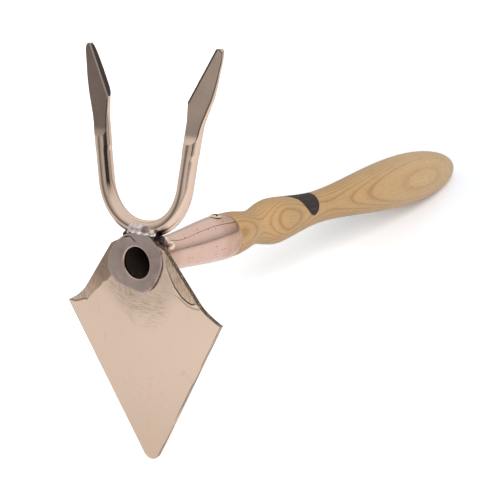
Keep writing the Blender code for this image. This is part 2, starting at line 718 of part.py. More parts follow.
def main():
    """Build the double hoe."""
    clear_scene()
    group = collection("double_hoe")
    cutters = collection("cutters")
    tool = bpy.data.objects.new("tool", None)
    group.objects.link(tool)
    hole = screw_hole(tool, cutters)
    bar = bar_cutter(tool, cutters)
    shiny = bronze()
    weld = weld_metal()
    wood_handle = handle(tool, group, hole, wood())
    blade = hoe_blade(tool, group, cutters, shiny)
    pieces = [
        wood_handle,
        blade,
        socket(tool, group, cutters, hole, copper()),
        socket_screw(tool, group, cutters, brass()),
        mouth_collar(tool, group, cutters, bar, ground_bronze()),
        fork(tool, group, cutters, shiny),
        fork_weld_front(tool, group, cutters, bar, weld),
        fork_weld_back(tool, group, cutters, bar, weld),
        blade_weld(tool, group, cutters, weld),
    ]
    rest_on_floor(tool, blade, wood_handle, pieces)


main()
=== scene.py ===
"""Looks of the double hoe: fine surfaces, finishes, floor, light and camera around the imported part.

The pieces are modelled in the tool's own frame, in metres: the origin is the centre of the socket's mouth,
+Y runs down the socket into the handle, +Z points at the fork and -Z at the blade. Lists of places, and marks
that say so, are in millimetres.
"""
import json
import math

import bmesh
import bpy
from mathutils import Matrix, Vector, noise


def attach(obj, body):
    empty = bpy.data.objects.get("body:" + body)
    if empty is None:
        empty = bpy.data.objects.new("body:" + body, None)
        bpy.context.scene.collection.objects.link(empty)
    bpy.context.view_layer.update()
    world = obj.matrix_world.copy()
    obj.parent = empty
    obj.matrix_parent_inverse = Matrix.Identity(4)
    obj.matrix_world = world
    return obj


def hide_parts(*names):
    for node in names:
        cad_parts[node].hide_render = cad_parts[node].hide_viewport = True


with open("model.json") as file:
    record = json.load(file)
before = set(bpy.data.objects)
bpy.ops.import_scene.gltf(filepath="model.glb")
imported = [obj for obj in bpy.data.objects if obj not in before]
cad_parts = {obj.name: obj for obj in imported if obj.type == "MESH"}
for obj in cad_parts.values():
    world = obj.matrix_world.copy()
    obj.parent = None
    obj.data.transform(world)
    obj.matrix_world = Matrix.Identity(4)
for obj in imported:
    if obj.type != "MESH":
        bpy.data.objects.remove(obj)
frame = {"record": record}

MM = 0.001                          # a millimetre in metres

# Sizes of the tool, as in the part
MOUTH_RADIUS = 8.7 * MM
TUBE_RADIUS = 10.1 * MM
SOCKET_WALL = 1.3 * MM
SOCKET_LENGTH = 81 * MM
FLARE_FROM_MOUTH = 24 * MM
FLARE_END_FROM_RIM = 2.8 * MM
FLARE_RADIUS = 13.5 * MM
CRIMP_LENGTH = 4 * MM
CRIMP_DEPTH = 0.6 * MM
SEAM_WIDTH = 0.3 * MM
SEAM_DEPTH = 0.9 * MM
SEAM_PATH = (                       # millimetres behind the mouth, and degrees round from the top
    (-5, 33), (22, 33), (25.7, 35), (28.5, 39.5), (32.3, 42), (37.6, 41.5), (44.7, 38), (51.8, 38.2),
    (57.2, 37),
    (61, 38), (67.4, 40), (72.7, 43.5), (90, 47),
)
TENON_LENGTH = 47 * MM
TENON_CHAMFER = 2 * MM
WOOD_PROUD = 0.25 * MM
NECK_FROM_SHOULDER = 25.7 * MM
NECK_RADIUS = 10.5 * MM
SWELL_FROM_NECK = 23 * MM
SWELL_RADIUS = 14.2 * MM
GRIP_FROM_SWELL = 52 * MM
GRIP_RADIUS = 10.3 * MM
BULB_FROM_GRIP = 116 * MM
BULB_RADIUS = 18 * MM
END_FROM_BULB = 69.8 * MM           # a hair short of the part's end, to stay in its box
GAP = 0.3 * MM
SCREW_FROM_RIM = 9.5 * MM
SCREW_ANGLE = math.radians(5)
SCREW_HEAD_RADIUS = 3.7 * MM
SCREW_HEAD_RISE = 1.0 * MM
SCREW_SINK = 1.9 * MM
SCREW_SHANK_RADIUS = 1.7 * MM
SCREW_LENGTH = 9 * MM
SCREW_SLOT_TURN = math.radians(-37)
SLOT_LENGTH = 5 * MM
SLOT_WIDTH = 1.1 * MM
SLOT_DEPTH = 1.5 * MM
BLADE_THICKNESS = 2.9 * MM
BLADE_LEAN = math.radians(3.3)
BLADE_SETBACK = 1.4 * MM
BLADE_WIDTH = 106 * MM
BLADE_REACH = 114.4 * MM            # a hair short of the part's tip, to stay in its box
BLADE_TIP_RADIUS = 6 * MM
SHOULDER_DROP = 28.5 * MM
SHOULDER_SLOPE = math.radians(25)
NECK_WIDTH = 37.4 * MM
NECK_RISE = 8.8 * MM
NECK_SLOPE = math.radians(36.7)
SCALLOP_DROP = 18 * MM
BLADE_TOP = 12 * MM
BLADE_TOP_WIDTH = 24 * MM
COLLAR_OUTLINE = (                  # radii in millimetres at even turns from +X towards +Z
    16.8, 18.4, 17.3, 17.7, 16.6, 16.2, 16.7, 17.0, 18.4,
    20.0, 20.6, 18.9, 16.4, 15.6, 16.7, 16.4, 15.6, 15.7,
)
FACET_TURN = math.radians(38)
FACET_FROM_AXIS = 16.3 * MM
BAR_RADIUS = 4.55 * MM
FORK_SEAT = 2.95 * MM
FORK_SETBACK = 7.9 * MM
FORK_TIP = 114.6 * MM               # a hair short of the part's tips, to stay in its box
FORK_LEAN = math.radians(3.5)
FORK_SWEEP = 3.9 * MM
TINE_SPLAY = math.radians(8.4)
BEND_WIDTH = 54 * MM
BEND_HEIGHT = 24.4 * MM
BEND_FLATNESS = 0.287
BEND_FULLNESS = 0.57
LEAF_LENGTH = 55 * MM
LEAF_WIDTH = 14.4 * MM
LEAF_DEPTH = 8.4 * MM
LEAF_FLARE = 7.15 * MM
LEAF_FACE_SLOPE = math.radians(9.7)
LEAF_TIP_THICKNESS = 3.7 * MM
LEAF_TIP_WIDTH = 3.4 * MM
LEAF_EDGE_SLOPE = math.radians(29.2)
LEAF_STATIONS = (                   # shares of the leaf's length, flare, width and flattening
    (0.0, 0.0, 0.679, 0.0),
    (0.185, 0.0, 0.69, 0.35),
    (0.295, 0.0, 0.715, 0.65),
    (0.385, 0.0, 0.813, 0.85),
    (0.467, 0.0, 0.91, 1.0),
    (0.549, 0.01, 0.993, 1.1),
    (0.645, 0.144, 0.94, 1.25),
    (0.731, 0.291, 0.843, 1.4),
    (0.822, 0.476, 0.675, 1.55),
    (0.913, 0.705, 0.48, 1.7),
    (0.967, 0.845, 0.33, 1.78),
    (0.99, 0.89, 0.2, 1.82),
    (1.0, 0.90, 0.07, 1.86),
)
RIGHT_FULLNESS = 1.6 * MM           # how much fuller the right leaf's outer side is than the left one's
RUN_OUT_HEIGHT = 70.4 * MM
RUN_OUT_RADIUS = 8 * MM

FAR = 200 * MM
MERGE = 0.002 * MM
ROUND = 96                          # steps of a round surface


def placement():
    """Where the tool's own frame lies, read from the flat mount on the face of its collar."""
    face = next(mount for mount in frame["record"]["mounts"] if mount["name"] == "collar_face")
    axis = Vector(face["axis"])
    lean = math.atan2(axis.z, -axis.y)
    mouth = Vector((0, *face["pos_m"][1:]))
    return Matrix.Translation(mouth) @ Matrix.Rotation(-lean, 4, "X")


TOOL = placement()


# Mesh building

def ease(share, skew=1.0):
    """A smooth step from 0 to 1, its middle moved by the skew."""
    share = min(max(share, 0), 1) ** skew
    return share * share * (3 - 2 * share)


def steps_between(first, last, count):
    """Evenly spaced values from first to last."""
    return [first + (last - first) * i / count for i in range(count + 1)]


def curve_value(stations, place):
    """A smooth curve through rows of (place, values...), as a list of values."""
    last = len(stations) - 1
    index = 0
    while index < last - 1 and stations[index + 1][0] < place:
        index += 1
    here, there = stations[index], stations[index + 1]
    before, after = stations[max(index - 1, 0)], stations[min(index + 2, last)]
    span = there[0] - here[0]
    share = (place - here[0]) / span
    s2, s3 = share ** 2, share ** 3
    values = []
    for k in range(1, len(here)):
        slope_here = (there[k] - before[k]) / (there[0] - before[0]) * span
        slope_there = (after[k] - here[k]) / (after[0] - here[0]) * span
        values.append((2 * s3 - 3 * s2 + 1) * here[k] + (s3 - 2 * s2 + share) * slope_here
                      + (3 * s2 - 2 * s3) * there[k] + (s3 - s2) * slope_there)
    return values


def mesh_of(name, shape):
    """A mesh from a bmesh, which is freed."""
    mesh = bpy.data.meshes.new(name)
    shape.to_mesh(mesh)
    shape.free()
    return mesh


def loft(name, loops, wrap=False, caps=True):
    """A mesh through closed loops that all have as many points."""
    shape = bmesh.new()
    rings = [[shape.verts.new(point) for point in loop] for loop in loops]
    for first, second in zip(rings, rings[1:] + rings[:1] if wrap else rings[1:]):
        count = len(first)
        for i in range(count):
            j = (i + 1) % count
            shape.faces.new((first[i], second[i], second[j], first[j]))
    if caps and not wrap:
        shape.faces.new(rings[0])
        shape.faces.new(rings[-1])
    bmesh.ops.remove_doubles(shape, verts=shape.verts, dist=MERGE)
    bmesh.ops.dissolve_degenerate(shape, edges=shape.edges, dist=MERGE / 10)
    bmesh.ops.recalc_face_normals(shape, faces=shape.faces)
    return mesh_of(name, shape)


def lathe(name, profile, steps=ROUND, wrap=False):
    """A mesh turned about the Y axis from (radius, along) pairs."""
    turns = [math.tau * i / steps for i in range(steps)]
    loops = [[(radius * math.sin(turn), along, radius * math.cos(turn)) for turn in turns]
             for radius, along in profile]
    return loft(name, loops, wrap=wrap, caps=False)


def ring_noise(turn, layer, scale):
    """Noise that closes after one turn."""
    return noise.noise(Vector((math.cos(turn), math.sin(turn), layer)) * scale)


def rod(name, radius):
    """A long rod along the Y axis, for cutting."""
    return lathe(name, [(0, FAR), (radius, FAR), (radius, -FAR), (0, -FAR)])


def block(name, size, centre, matrix):
    """A box, for cutting."""
    shape = bmesh.new()
    bmesh.ops.create_cube(shape, size=1)
    bmesh.ops.scale(shape, vec=size, verts=shape.verts)
    bmesh.ops.translate(shape, vec=centre, verts=shape.verts)
    mesh = mesh_of(name, shape)
    mesh.transform(matrix)
    return mesh


def new_object(name, data):
    """An object for a mesh, a light or a camera."""
    made = bpy.data.objects.new(name, data)
    bpy.context.scene.collection.objects.link(made)
    return made


def evaluated_mesh(made):
    """The mesh of an object with its modifiers applied. The object is removed."""
    bpy.context.view_layer.update()
    seen = made.evaluated_get(bpy.context.evaluated_depsgraph_get())
    mesh = bpy.data.meshes.new_from_object(seen)
    bpy.data.objects.remove(made)
    return mesh


def carve(mesh, cutters, finish=None, operation="DIFFERENCE"):
    """Cut a mesh by others, and give the cut faces a finish of their own."""
    made = new_object("carved", mesh)
    tools = []
    for cutter in cutters:
        if finish:
            cutter.materials.clear()
            cutter.materials.append(finish)
        tools.append(new_object("cutter", cutter))
        modifier = made.modifiers.new("cut", "BOOLEAN")
        modifier.operation = operation
        modifier.solver = "EXACT"
        modifier.material_mode = "TRANSFER" if finish else "INDEX"
        modifier.object = tools[-1]
    result = evaluated_mesh(made)
    for tool in tools:
        bpy.data.objects.remove(tool)
    return result


def piece(name, mesh, node, finish=None, sharp=30):
    """A finished piece that stands for a node and rides on the tool's one body."""
    if finish:
        mesh.materials.clear()
        mesh.materials.append(finish)
    mesh.name = name
    mesh.transform(TOOL)
    mesh.shade_smooth()
    mesh.set_sharp_from_angle(angle=math.radians(sharp))
    made = new_object(name, mesh)
    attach(made, "root")
    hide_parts(node)


# Node trees

def joined_by(operation):
    """A method that joins two values by a Math node."""
    return lambda first, second: first.nodes.math(operation, first, second)


class Value:
    """A node's output, for sums, products and ranges."""

    def __init__(self, nodes, socket):
        self.nodes = nodes
        self.socket = socket

    __add__ = joined_by("ADD")
    __sub__ = joined_by("SUBTRACT")
    __mul__ = joined_by("MULTIPLY")
    __truediv__ = joined_by("DIVIDE")

    def __rsub__(self, other):
        return self.nodes.math("SUBTRACT", other, self)

    def __abs__(self):
        return self.nodes.math("ABSOLUTE", self)

    def span(self, low, high, start=0.0, end=1.0):
        """The value carried from one range to another, clamped."""
        return self.nodes.add("MapRange", self, low, high, start, end)


class Nodes:
    """Short calls that build a node tree. An input may be a number, a colour or another node's Value."""

    def __init__(self, tree, place):
        self.tree = tree
        tree.nodes.clear()
        self.place = place(self)
        self.x, self.y, self.z = self.parts(self.place)
        self.colour = None

    def add(self, kind, *values, out=0, named=None, **settings):
        """A node with its inputs in order or by name and its settings, as its output."""
        made = self.tree.nodes.new("ShaderNode" + kind)
        for key, value in settings.items():
            setattr(made, key, value)
        for key, value in (*enumerate(values), *(named or {}).items()):
            if isinstance(value, Value):
                self.tree.links.new(value.socket, made.inputs[key])
            elif value is not None:
                made.inputs[key].default_value = value
        return Value(self, made.outputs[out]) if made.outputs else None

    def math(self, operation, first, second=None):
        """A Math node."""
        return self.add("Math", first, second, operation=operation)

    def parts(self, vector):
        """The X, Y and Z of a vector."""
        first = self.add("SeparateXYZ", vector)
        return [Value(self, socket) for socket in first.socket.node.outputs]

    def length(self, first, second):
        """The length of two values at a right angle."""
        return self.math("SQRT", first * first + second * second)

    def attribute(self, name):
        """A value painted on the mesh's points."""
        return self.add("Attribute", out="Fac", attribute_name=name)

    def along(self, axis):
        """How far the place lies along an axis."""
        return self.add("VectorMath", self.place, axis, out=1, operation="DOT_PRODUCT")

    def near(self, centre, radius, soft):
        """1 within a radius of a point, both in millimetres, and 0 beyond its soft border."""
        centre = tuple(value * MM for value in centre)
        away = self.add("VectorMath", self.place, centre, out=1, operation="DISTANCE")
        return away.span((radius + soft) * MM, radius * MM)

    def stretched(self, stretch):
        """The place, scaled along each axis."""
        return self.add("VectorMath", self.place, stretch, operation="MULTIPLY") if stretch else self.place

    def noise(self, scale, detail=2.0, roughness=0.5, stretch=None, at=None):
        """Noise from 0 to 1, at the place or another point, finer along axes that aren't scaled down."""
        place = at or self.stretched(stretch)
        named = {"Vector": place, "Scale": scale, "Detail": detail, "Roughness": roughness}
        return self.add("TexNoise", named=named)

    def cloud(self, scale, detail, start=0.0, end=1.0):
        """Soft noise that fills a range."""
        return self.noise(scale, detail).span(0.3, 0.7, start, end)

    def cells(self, scale, stretch=None):
        """Distance to the nearest of scattered points."""
        return self.add("TexVoronoi", named={"Vector": self.stretched(stretch), "Scale": scale})

    def ramp(self, value, *stops):
        """A grey ramp from (place, value) stops."""
        ramp = self.add("ValToRGB", value)
        elements = ramp.socket.node.color_ramp.elements
        while len(elements) < len(stops):
            elements.new(1)
        for element, (place, shade) in zip(elements, stops):
            element.position = place
            element.color = (shade, shade, shade, 1)
        return ramp

    def mix(self, share, first, second, blend="MIX"):
        """Two colours mixed."""
        first, second = ((*shade, 1) if isinstance(shade, tuple) else shade for shade in (first, second))
        named = {0: share, 6: first, 7: second}
        return self.add("Mix", out=2, named=named, data_type="RGBA", blend_type=blend)

    def base(self, share, first, second):
        """Start the tree's colour from two."""
        self.colour = self.mix(share, first, second)

    def paint(self, share, colour, strength=None):
        """Lay a colour over the tree's colour."""
        self.colour = self.mix(share * strength if strength else share, self.colour, colour)

    def bump(self, height, distance, strength, normal=None):
        """A bumped normal; the height is from 0 to 1 and the distance its depth in metres."""
        named = {"Height": height, "Distance": distance, "Strength": strength, "Normal": normal}
        return self.add("Bump", named=named)


def tool_place(nodes):
    """The point in the tool's frame, in metres."""
    seen = nodes.add("TexCoord", out="Object")
    return nodes.add("Mapping", seen, TOOL.translation, TOOL.to_euler(), vector_type="TEXTURE")


def principled(name, build, plain):
    """A material from a function that paints a tree and returns its roughness, normal and metalness."""
    made = bpy.data.materials.new(name)
    made.use_nodes = True
    made.diffuse_color = (*plain, 1)
    nodes = Nodes(made.node_tree, tool_place)
    roughness, normal, metallic = build(nodes)
    named = {"Base Color": nodes.colour, "Roughness": roughness, "Normal": normal, "Metallic": metallic}
    nodes.add("OutputMaterial", nodes.add("BsdfPrincipled", named=named))
    return made


# Materials

PITH_AWAY = 95 * MM
PITH = (-0.985 * PITH_AWAY, -0.17 * PITH_AWAY)      # x and z of the rings' middle, from the handle's axis
RING_WIDE = 3.8 * MM
RING_NARROW = 1.6 * MM
RING_CHANGE = PITH_AWAY + 13.0 * MM                 # from the pith to the line where the rings grow wider
RING_DRIFT = 1.8 * MM
RING_PROFILE = ((0.0, 1.0), (0.06, 0.85), (0.14, 0.15), (0.5, 0.0), (0.88, 0.35), (1.0, 0.95))
RINGS_BEFORE = 40.0                                 # whole rings that keep the count positive
PATCH_ALONG = 161.5 * MM
PATCH_HALF_LENGTH = 11.5 * MM
PATCH_HALF_WIDTH = 18.6 * MM
PATCH_FOOT = 6 * MM


def wood_look(nodes):
    """Pale oiled hardwood: growth rings, fibre and pores along the handle, and a bare dark patch on top;
    painted light on the bulb end, painted shade on the tenon inside the socket.
    """
    x, y, z = nodes.x, nodes.y, nodes.z
    drift = nodes.noise(40, 2, stretch=(1.0, 0.2, 1.0)).span(0, 1, -RING_DRIFT / 2, RING_DRIFT / 2)
    beyond = nodes.length(x - PITH[0], z - PITH[1]) + drift - RING_CHANGE
    rings = nodes.math("MAXIMUM", beyond, 0.0) / RING_WIDE + nodes.math("MINIMUM", beyond, 0.0) / RING_NARROW
    layers = nodes.ramp(nodes.math("FRACT", rings + RINGS_BEFORE), *RING_PROFILE)
    patchy = nodes.noise(60, 3, stretch=(1, 0.3, 1))
    nodes.base(patchy.span(0.3, 0.7), (0.57, 0.362, 0.168), (0.515, 0.318, 0.14))
    nodes.paint(layers * patchy.span(0.25, 0.75, 0.6, 1.0), (0.31, 0.135, 0.036), 0.88)
    # Painted light: the handle is painted lighter towards its bulb end.
    nodes.paint(y.span(215 * MM, 300 * MM, 0.0, 0.5), (0.78, 0.56, 0.33))
    fibre = nodes.noise(1500, 3, 0.65, stretch=(1, 0.035, 1))
    nodes.paint(fibre.span(0.35, 0.75, 0.0, 0.4), (0.46, 0.275, 0.115))
    pore = nodes.noise(2100, 1, stretch=(1, 0.10, 1)).span(0.60, 0.70)
    nodes.paint(pore, (0.32, 0.18, 0.07), 0.45)
    across = nodes.math("ARCTAN2", x, z) * nodes.length(x, z)
    foot = across.span(7 * MM, 0.0, 0.0, PATCH_FOOT)
    start = y - PATCH_ALONG
    start = start + foot * start.span(0.0, -PATCH_HALF_LENGTH)
    edge = nodes.length(start / PATCH_HALF_LENGTH, across / PATCH_HALF_WIDTH)
    patch = (edge + nodes.noise(900, 2) * 0.04).span(1.04, 1.0)
    dark = nodes.mix(nodes.noise(420, 4, 0.6), (0.009, 0.006, 0.006), (0.034, 0.022, 0.021))
    nodes.paint(patch, nodes.mix(fibre.span(0.5, 0.62) * 0.5, dark, (0.085, 0.055, 0.05)))
    # Painted shade: the tenon deep inside the socket is painted near black, as the shade in the bore.
    nodes.paint(y.span(50 * MM, 45 * MM), (0.02, 0.014, 0.01))
    roughness = nodes.mix(patch, nodes.cloud(150, 3, 0.44, 0.56), (0.8, 0.8, 0.8))
    return roughness, nodes.bump(fibre * 0.6 - pore * 0.5, 0.05 * MM, 0.6), 0.0


def copper_look(nodes):
    """Polished pinkish copper sheet: small pits, fine scratches along it, brown stain at its ends, and
    painted shade in its bore.
    """
    y = nodes.y
    nodes.base(nodes.cloud(55, 3), (0.65, 0.445, 0.365), (0.68, 0.48, 0.405))
    stain = y.span(30 * MM, 12 * MM) + y.span(62 * MM, 78 * MM)
    nodes.paint(stain * nodes.noise(130, 3).span(0.35, 0.65, 0.45, 0.95), (0.40, 0.235, 0.15))
    # Painted shade: the socket's bore is painted near black, rougher and less metallic.
    inside = nodes.length(nodes.x, nodes.z).span(9.5 * MM, 9.3 * MM)
    nodes.paint(inside, (0.018, 0.012, 0.01))
    pit = nodes.cells(330, (1, 0.8, 1)).span(0.17, 0.09) * nodes.noise(90, 1).span(0.38, 0.46)
    nodes.paint(pit, (0.14, 0.07, 0.05), 0.8)
    scratch = nodes.noise(1700, 1, stretch=(1, 0.05, 1)).span(0.62, 0.7)
    normal = nodes.bump(nodes.noise(70, 2), 0.35 * MM, 0.2)
    roughness = nodes.cloud(260, 3, 0.09, 0.18) + inside * 0.5
    return roughness, nodes.bump(scratch * 0.12 - pit, 0.06 * MM, 0.7, normal), 1.0 - inside


def blade_look(nodes):
    """Mirror-polished bronze: arcs below the collar and hair scratches; painted shade along the creases and
    the left edge, greyer flanks painted darker as painted reflection of their bend, and painted reflection
    darkening it towards the tip.
    """
    x, z = nodes.x, nodes.z
    radius = nodes.length(x, z)
    neck = radius.span(34 * MM, 25 * MM)
    polar = nodes.add("CombineXYZ", radius, nodes.math("ARCTAN2", x, z) * (1.4 * MM))
    arc = nodes.noise(1500, 2, 0.6, at=polar) * neck * nodes.noise(110, 2).span(0.4, 0.62)
    low_left = x.span(4 * MM, -6 * MM) * z.span(-2 * MM, -10 * MM)
    scored = nodes.noise(2100, 1, at=polar).span(0.58, 0.66) * low_left * radius.span(31 * MM, 27 * MM)
    slanted = nodes.add("CombineXYZ", nodes.along((0.8, 0.0, 0.6)), z * 0.05)
    hair = nodes.noise(700, 1, stretch=(1, 1, 0.045)).span(0.68, 0.72)
    hair = (hair + nodes.noise(900, 1, at=slanted).span(0.70, 0.74)) * nodes.noise(60, 2).span(0.5, 0.62)
    level = nodes.noise(2300, 2, stretch=(0.07, 1, 1)).span(0.5, 0.6) * nodes.near((3, 3, -21), 10, 9)
    specks = nodes.noise(420, 3, 0.7).span(0.58, 0.66) * nodes.near((-2, 4, -68), 9, 10)
    # Painted reflection: darker towards the tip, for the nearer, darker floor that the lower blade reflects.
    nodes.base(z.span(-20 * MM, -110 * MM), (0.735, 0.57, 0.455), (0.55, 0.41, 0.315))
    nodes.paint(nodes.cloud(28, 3, 0.0, 0.4), (0.65, 0.49, 0.38))
    nodes.paint(neck, (0.50, 0.38, 0.30), 0.28)
    nodes.paint(arc, (0.36, 0.26, 0.20), 0.3)
    nodes.paint(scored, (0.30, 0.21, 0.16), 0.3)
    nodes.paint(level, (0.30, 0.21, 0.155), 0.42)
    nodes.paint(hair, (0.40, 0.29, 0.22), 0.42)
    nodes.paint(specks, (0.47, 0.33, 0.25), 0.35)
    # Partly painted reflection: the flanks beyond the creases are painted darker and browner for the darker
    # reflection of their bend, over real brushing marks.
    flank = nodes.attribute("flank")
    left = x.span(1 * MM, -1 * MM)
    outer = nodes.mix(x.span(-28 * MM, -42 * MM), (0.42, 0.265, 0.185), (0.62, 0.46, 0.36))
    hatch = nodes.noise(1500, 3, 0.6, stretch=(1, 1, 0.16)).span(0.46, 0.58, 0.0, 0.55)
    plain = nodes.mix(left, (0.61, 0.455, 0.33), outer)
    nodes.paint(flank, nodes.mix(hatch, plain, (0.24, 0.165, 0.115)), 0.9)
    brushed = nodes.near((-28, 2, -6), 5, 7) * nodes.noise(900, 3, 0.6).span(0.35, 0.6, 0.25, 0.8)
    nodes.paint(brushed * flank, (0.27, 0.21, 0.16))
    nodes.paint(nodes.attribute("scar"), (0.24, 0.14, 0.08), 0.6)
    # Painted shade: dark lines along the creases and along the left edge.
    nodes.paint(nodes.attribute("line"), nodes.mix(left, (0.035, 0.02, 0.014), (0.17, 0.09, 0.05)), 0.95)
    normal = nodes.bump(nodes.noise(35, 1), 0.35 * MM, 0.12)
    roughness = nodes.cloud(90, 3, 0.07, 0.13) + neck * 0.1
    return roughness, nodes.bump(arc + scored + hair * 0.3, 0.03 * MM, 0.5, normal), 1.0


def edge_look(nodes):
    """The blade's sawn walls: pale brown and streaked, dark and flecked above its shoulders; their dark
    colours are painted reflection of the shadowed floor behind the blade.
    """
    streaks = nodes.noise(900, 2, stretch=(0.06, 1, 0.06)).span(0.46, 0.56)
    # Painted reflection: the walls are darkened for the shadowed floor they reflect, most above the
    # shoulders.
    low = nodes.mix(streaks, (0.60, 0.46, 0.35), (0.25, 0.185, 0.14))
    high = nodes.mix(nodes.noise(1100, 2).span(0.6, 0.68), (0.10, 0.068, 0.045), (0.55, 0.43, 0.32))
    nodes.base(nodes.z.span(-27 * MM, -30 * MM), high, low)
    rows = nodes.noise(1500, 2)
    return rows.span(0.3, 0.7, 0.34, 0.5), nodes.bump(rows, 0.05 * MM, 0.6), 0.6


def bar_look(nodes):
    """Polished bronze bar with faint marks along it, with painted shade on its under side where it is welded.
    """
    nodes.base(nodes.cloud(70, 3), (0.70, 0.535, 0.43), (0.63, 0.475, 0.38))
    pits = nodes.cells(170).span(0.075, 0.04)
    nodes.paint(pits, (0.12, 0.08, 0.06), 0.7)
    facing_up = nodes.parts(nodes.add("NewGeometry", out="Normal"))[2]
    # Painted shade on the bar's downward faces next to the weld.
    painted_shade = facing_up.span(0.2, -0.15) * abs(nodes.x).span(19 * MM, 15.5 * MM)
    nodes.paint(painted_shade, (0.07, 0.042, 0.042), 0.93)
    marks = nodes.noise(1300, 1, stretch=(1, 1, 0.06)).span(0.62, 0.7)
    normal = nodes.bump(nodes.noise(120, 2, stretch=(1, 1, 0.5)), 0.3 * MM, 0.15)
    return nodes.cloud(200, 3, 0.08, 0.14), nodes.bump(marks * 0.15 - pits, 0.04 * MM, 0.6, normal), 1.0


def leaf_look(nodes):
    """Ground bronze of the fork's flat faces with fine grain; the left face painted darker as painted shade,
    a painted highlight at the left leaf's inner edge and a painted shade line at the right one's, and a
    painted shade line along the border.
    """
    x, z = nodes.x, nodes.z
    side = x.span(-1 * MM, 1 * MM)
    cloud = nodes.cloud(90, 3)
    # Painted shade: the left leaf's face is painted darker, more so towards its tip.
    left = nodes.mix(cloud, (0.35, 0.265, 0.22), (0.30, 0.225, 0.185))
    left = nodes.mix(z.span(85 * MM, 115 * MM, 0.0, 0.4), left, (0.20, 0.15, 0.125))
    nodes.base(side, left, nodes.mix(cloud, (0.72, 0.55, 0.45), (0.63, 0.48, 0.395)))
    inner = abs(x) * math.cos(LEAF_EDGE_SLOPE) - z * math.sin(LEAF_EDGE_SLOPE) - leaf_edge_place()
    # Along the inner edge: a painted highlight on the left leaf and a painted shade line on the right one.
    nodes.paint(inner.span(1.3 * MM, 0.9 * MM), nodes.mix(side, (0.62, 0.48, 0.40), (0.13, 0.095, 0.08)))
    # Painted shade: a dark line along the border of the faces, where the flat meets the round bar.
    share = z.span(BORDER_FROM, FORK_TIP)
    border = nodes.mix(side, nodes.ramp(share, *leaf_border(-1)), nodes.ramp(share, *leaf_border(1)))
    off = abs(abs(x) * BORDER_SCALE - border)
    line = off.span(0.6 * MM * BORDER_SCALE, 0.35 * MM * BORDER_SCALE) * 0.75
    nodes.paint(line * nodes.math("MAXIMUM", side, inner.span(1.3 * MM, 1.8 * MM)), (0.10, 0.07, 0.055))
    grains = nodes.noise(2600, 2, 0.6, stretch=(0.3, 1, 1))
    nodes.paint(grains.span(0.4, 0.8, 0, 0.3), (0.24, 0.18, 0.145))
    return grains.span(0.3, 0.7, 0.24, 0.34), nodes.bump(grains, 0.012 * MM, 0.5), 1.0


def grained(scale, stretch, dark, light, roughness, depth):
    """A look of plain grain, from dark to light."""
    def look(nodes):
        grain = nodes.noise(scale, 2, stretch=stretch)
        nodes.base(grain, dark, light)
        return grain.span(0.3, 0.7, *roughness), nodes.bump(grain, depth, 0.5), 1.0
    return look


# The leaves' ground inner walls, painted nearly black, and painted shade for the inside of the crack and of
# the screw's recess
wall_look = grained(1500, (1, 1, 0.2), (0.035, 0.027, 0.025), (0.09, 0.07, 0.062), (0.3, 0.45), 0.02 * MM)
recess_shade_look = grained(1200, None, (0.03, 0.02, 0.016), (0.08, 0.055, 0.042), (0.5, 0.7), 0.05 * MM)


def collar_look(nodes):
    """Weld metal ground flat: grey, brushed, copper-coloured round the bore, with a rough dark wall; painted
    sheen lightens its top, left and bottom, and painted shade darkens its lower right edge and its bore.
    """
    x, y, z = nodes.x, nodes.y, nodes.z
    radius = nodes.length(x, z)
    cloud = nodes.noise(160, 3)
    nodes.base(nodes.noise(75, 3, 0.6).span(0.35, 0.65), (0.34, 0.26, 0.225), (0.53, 0.42, 0.375))
    # Painted sheen: lighter towards the top, the left and the bottom.
    nodes.paint(z.span(4 * MM, 13 * MM, 0.0, 0.75), (0.60, 0.48, 0.455))
    nodes.paint(x.span(-8 * MM, -14 * MM, 0.0, 0.5), (0.58, 0.46, 0.42))
    nodes.paint(z.span(-6 * MM, -15 * MM, 0.0, 0.6), (0.55, 0.43, 0.39))
    level = nodes.noise(2600, 3, 0.65, stretch=(0.045, 1, 1))
    across, along = nodes.along((0.64, 0.0, 0.77)), nodes.along((0.77, 0.0, -0.64))
    leaning = nodes.add("CombineXYZ", across, along * 0.045, y)
    lines = nodes.mix(x.span(-6 * MM, 3 * MM), nodes.noise(2400, 3, 0.65, at=leaning), level)
    nodes.paint(lines.span(0.38, 0.68, 0, 0.5), (0.24, 0.185, 0.165))
    nodes.paint((radius + cloud * (1.6 * MM)).span(11.2 * MM, 10.2 * MM), (0.66, 0.46, 0.38), 0.6)
    # Painted shade at the lower right edge, where the collar meets the blade.
    nodes.paint(nodes.near((13.5, 0, -12), 1.5, 3) * cloud.span(0.4, 0.55), (0.12, 0.09, 0.075), 0.7)
    wall = y.span(0.7 * MM, 1.1 * MM) * radius.span(12 * MM, 13 * MM)
    fleck = nodes.noise(700, 3, 0.6).span(0.52, 0.62)
    nodes.paint(wall, nodes.mix(fleck, (0.12, 0.09, 0.07), (0.42, 0.33, 0.25)))
    # Painted shade: the bore is painted near black.
    nodes.paint(radius.span(8.95 * MM, 8.75 * MM), (0.02, 0.014, 0.012))
    normal = nodes.bump(nodes.noise(800, 3, 0.6), wall * (0.2 * MM), 0.6)
    return lines.span(0.3, 0.7, 0.28, 0.42), nodes.bump(lines, 0.02 * MM, 0.55, normal), 1.0


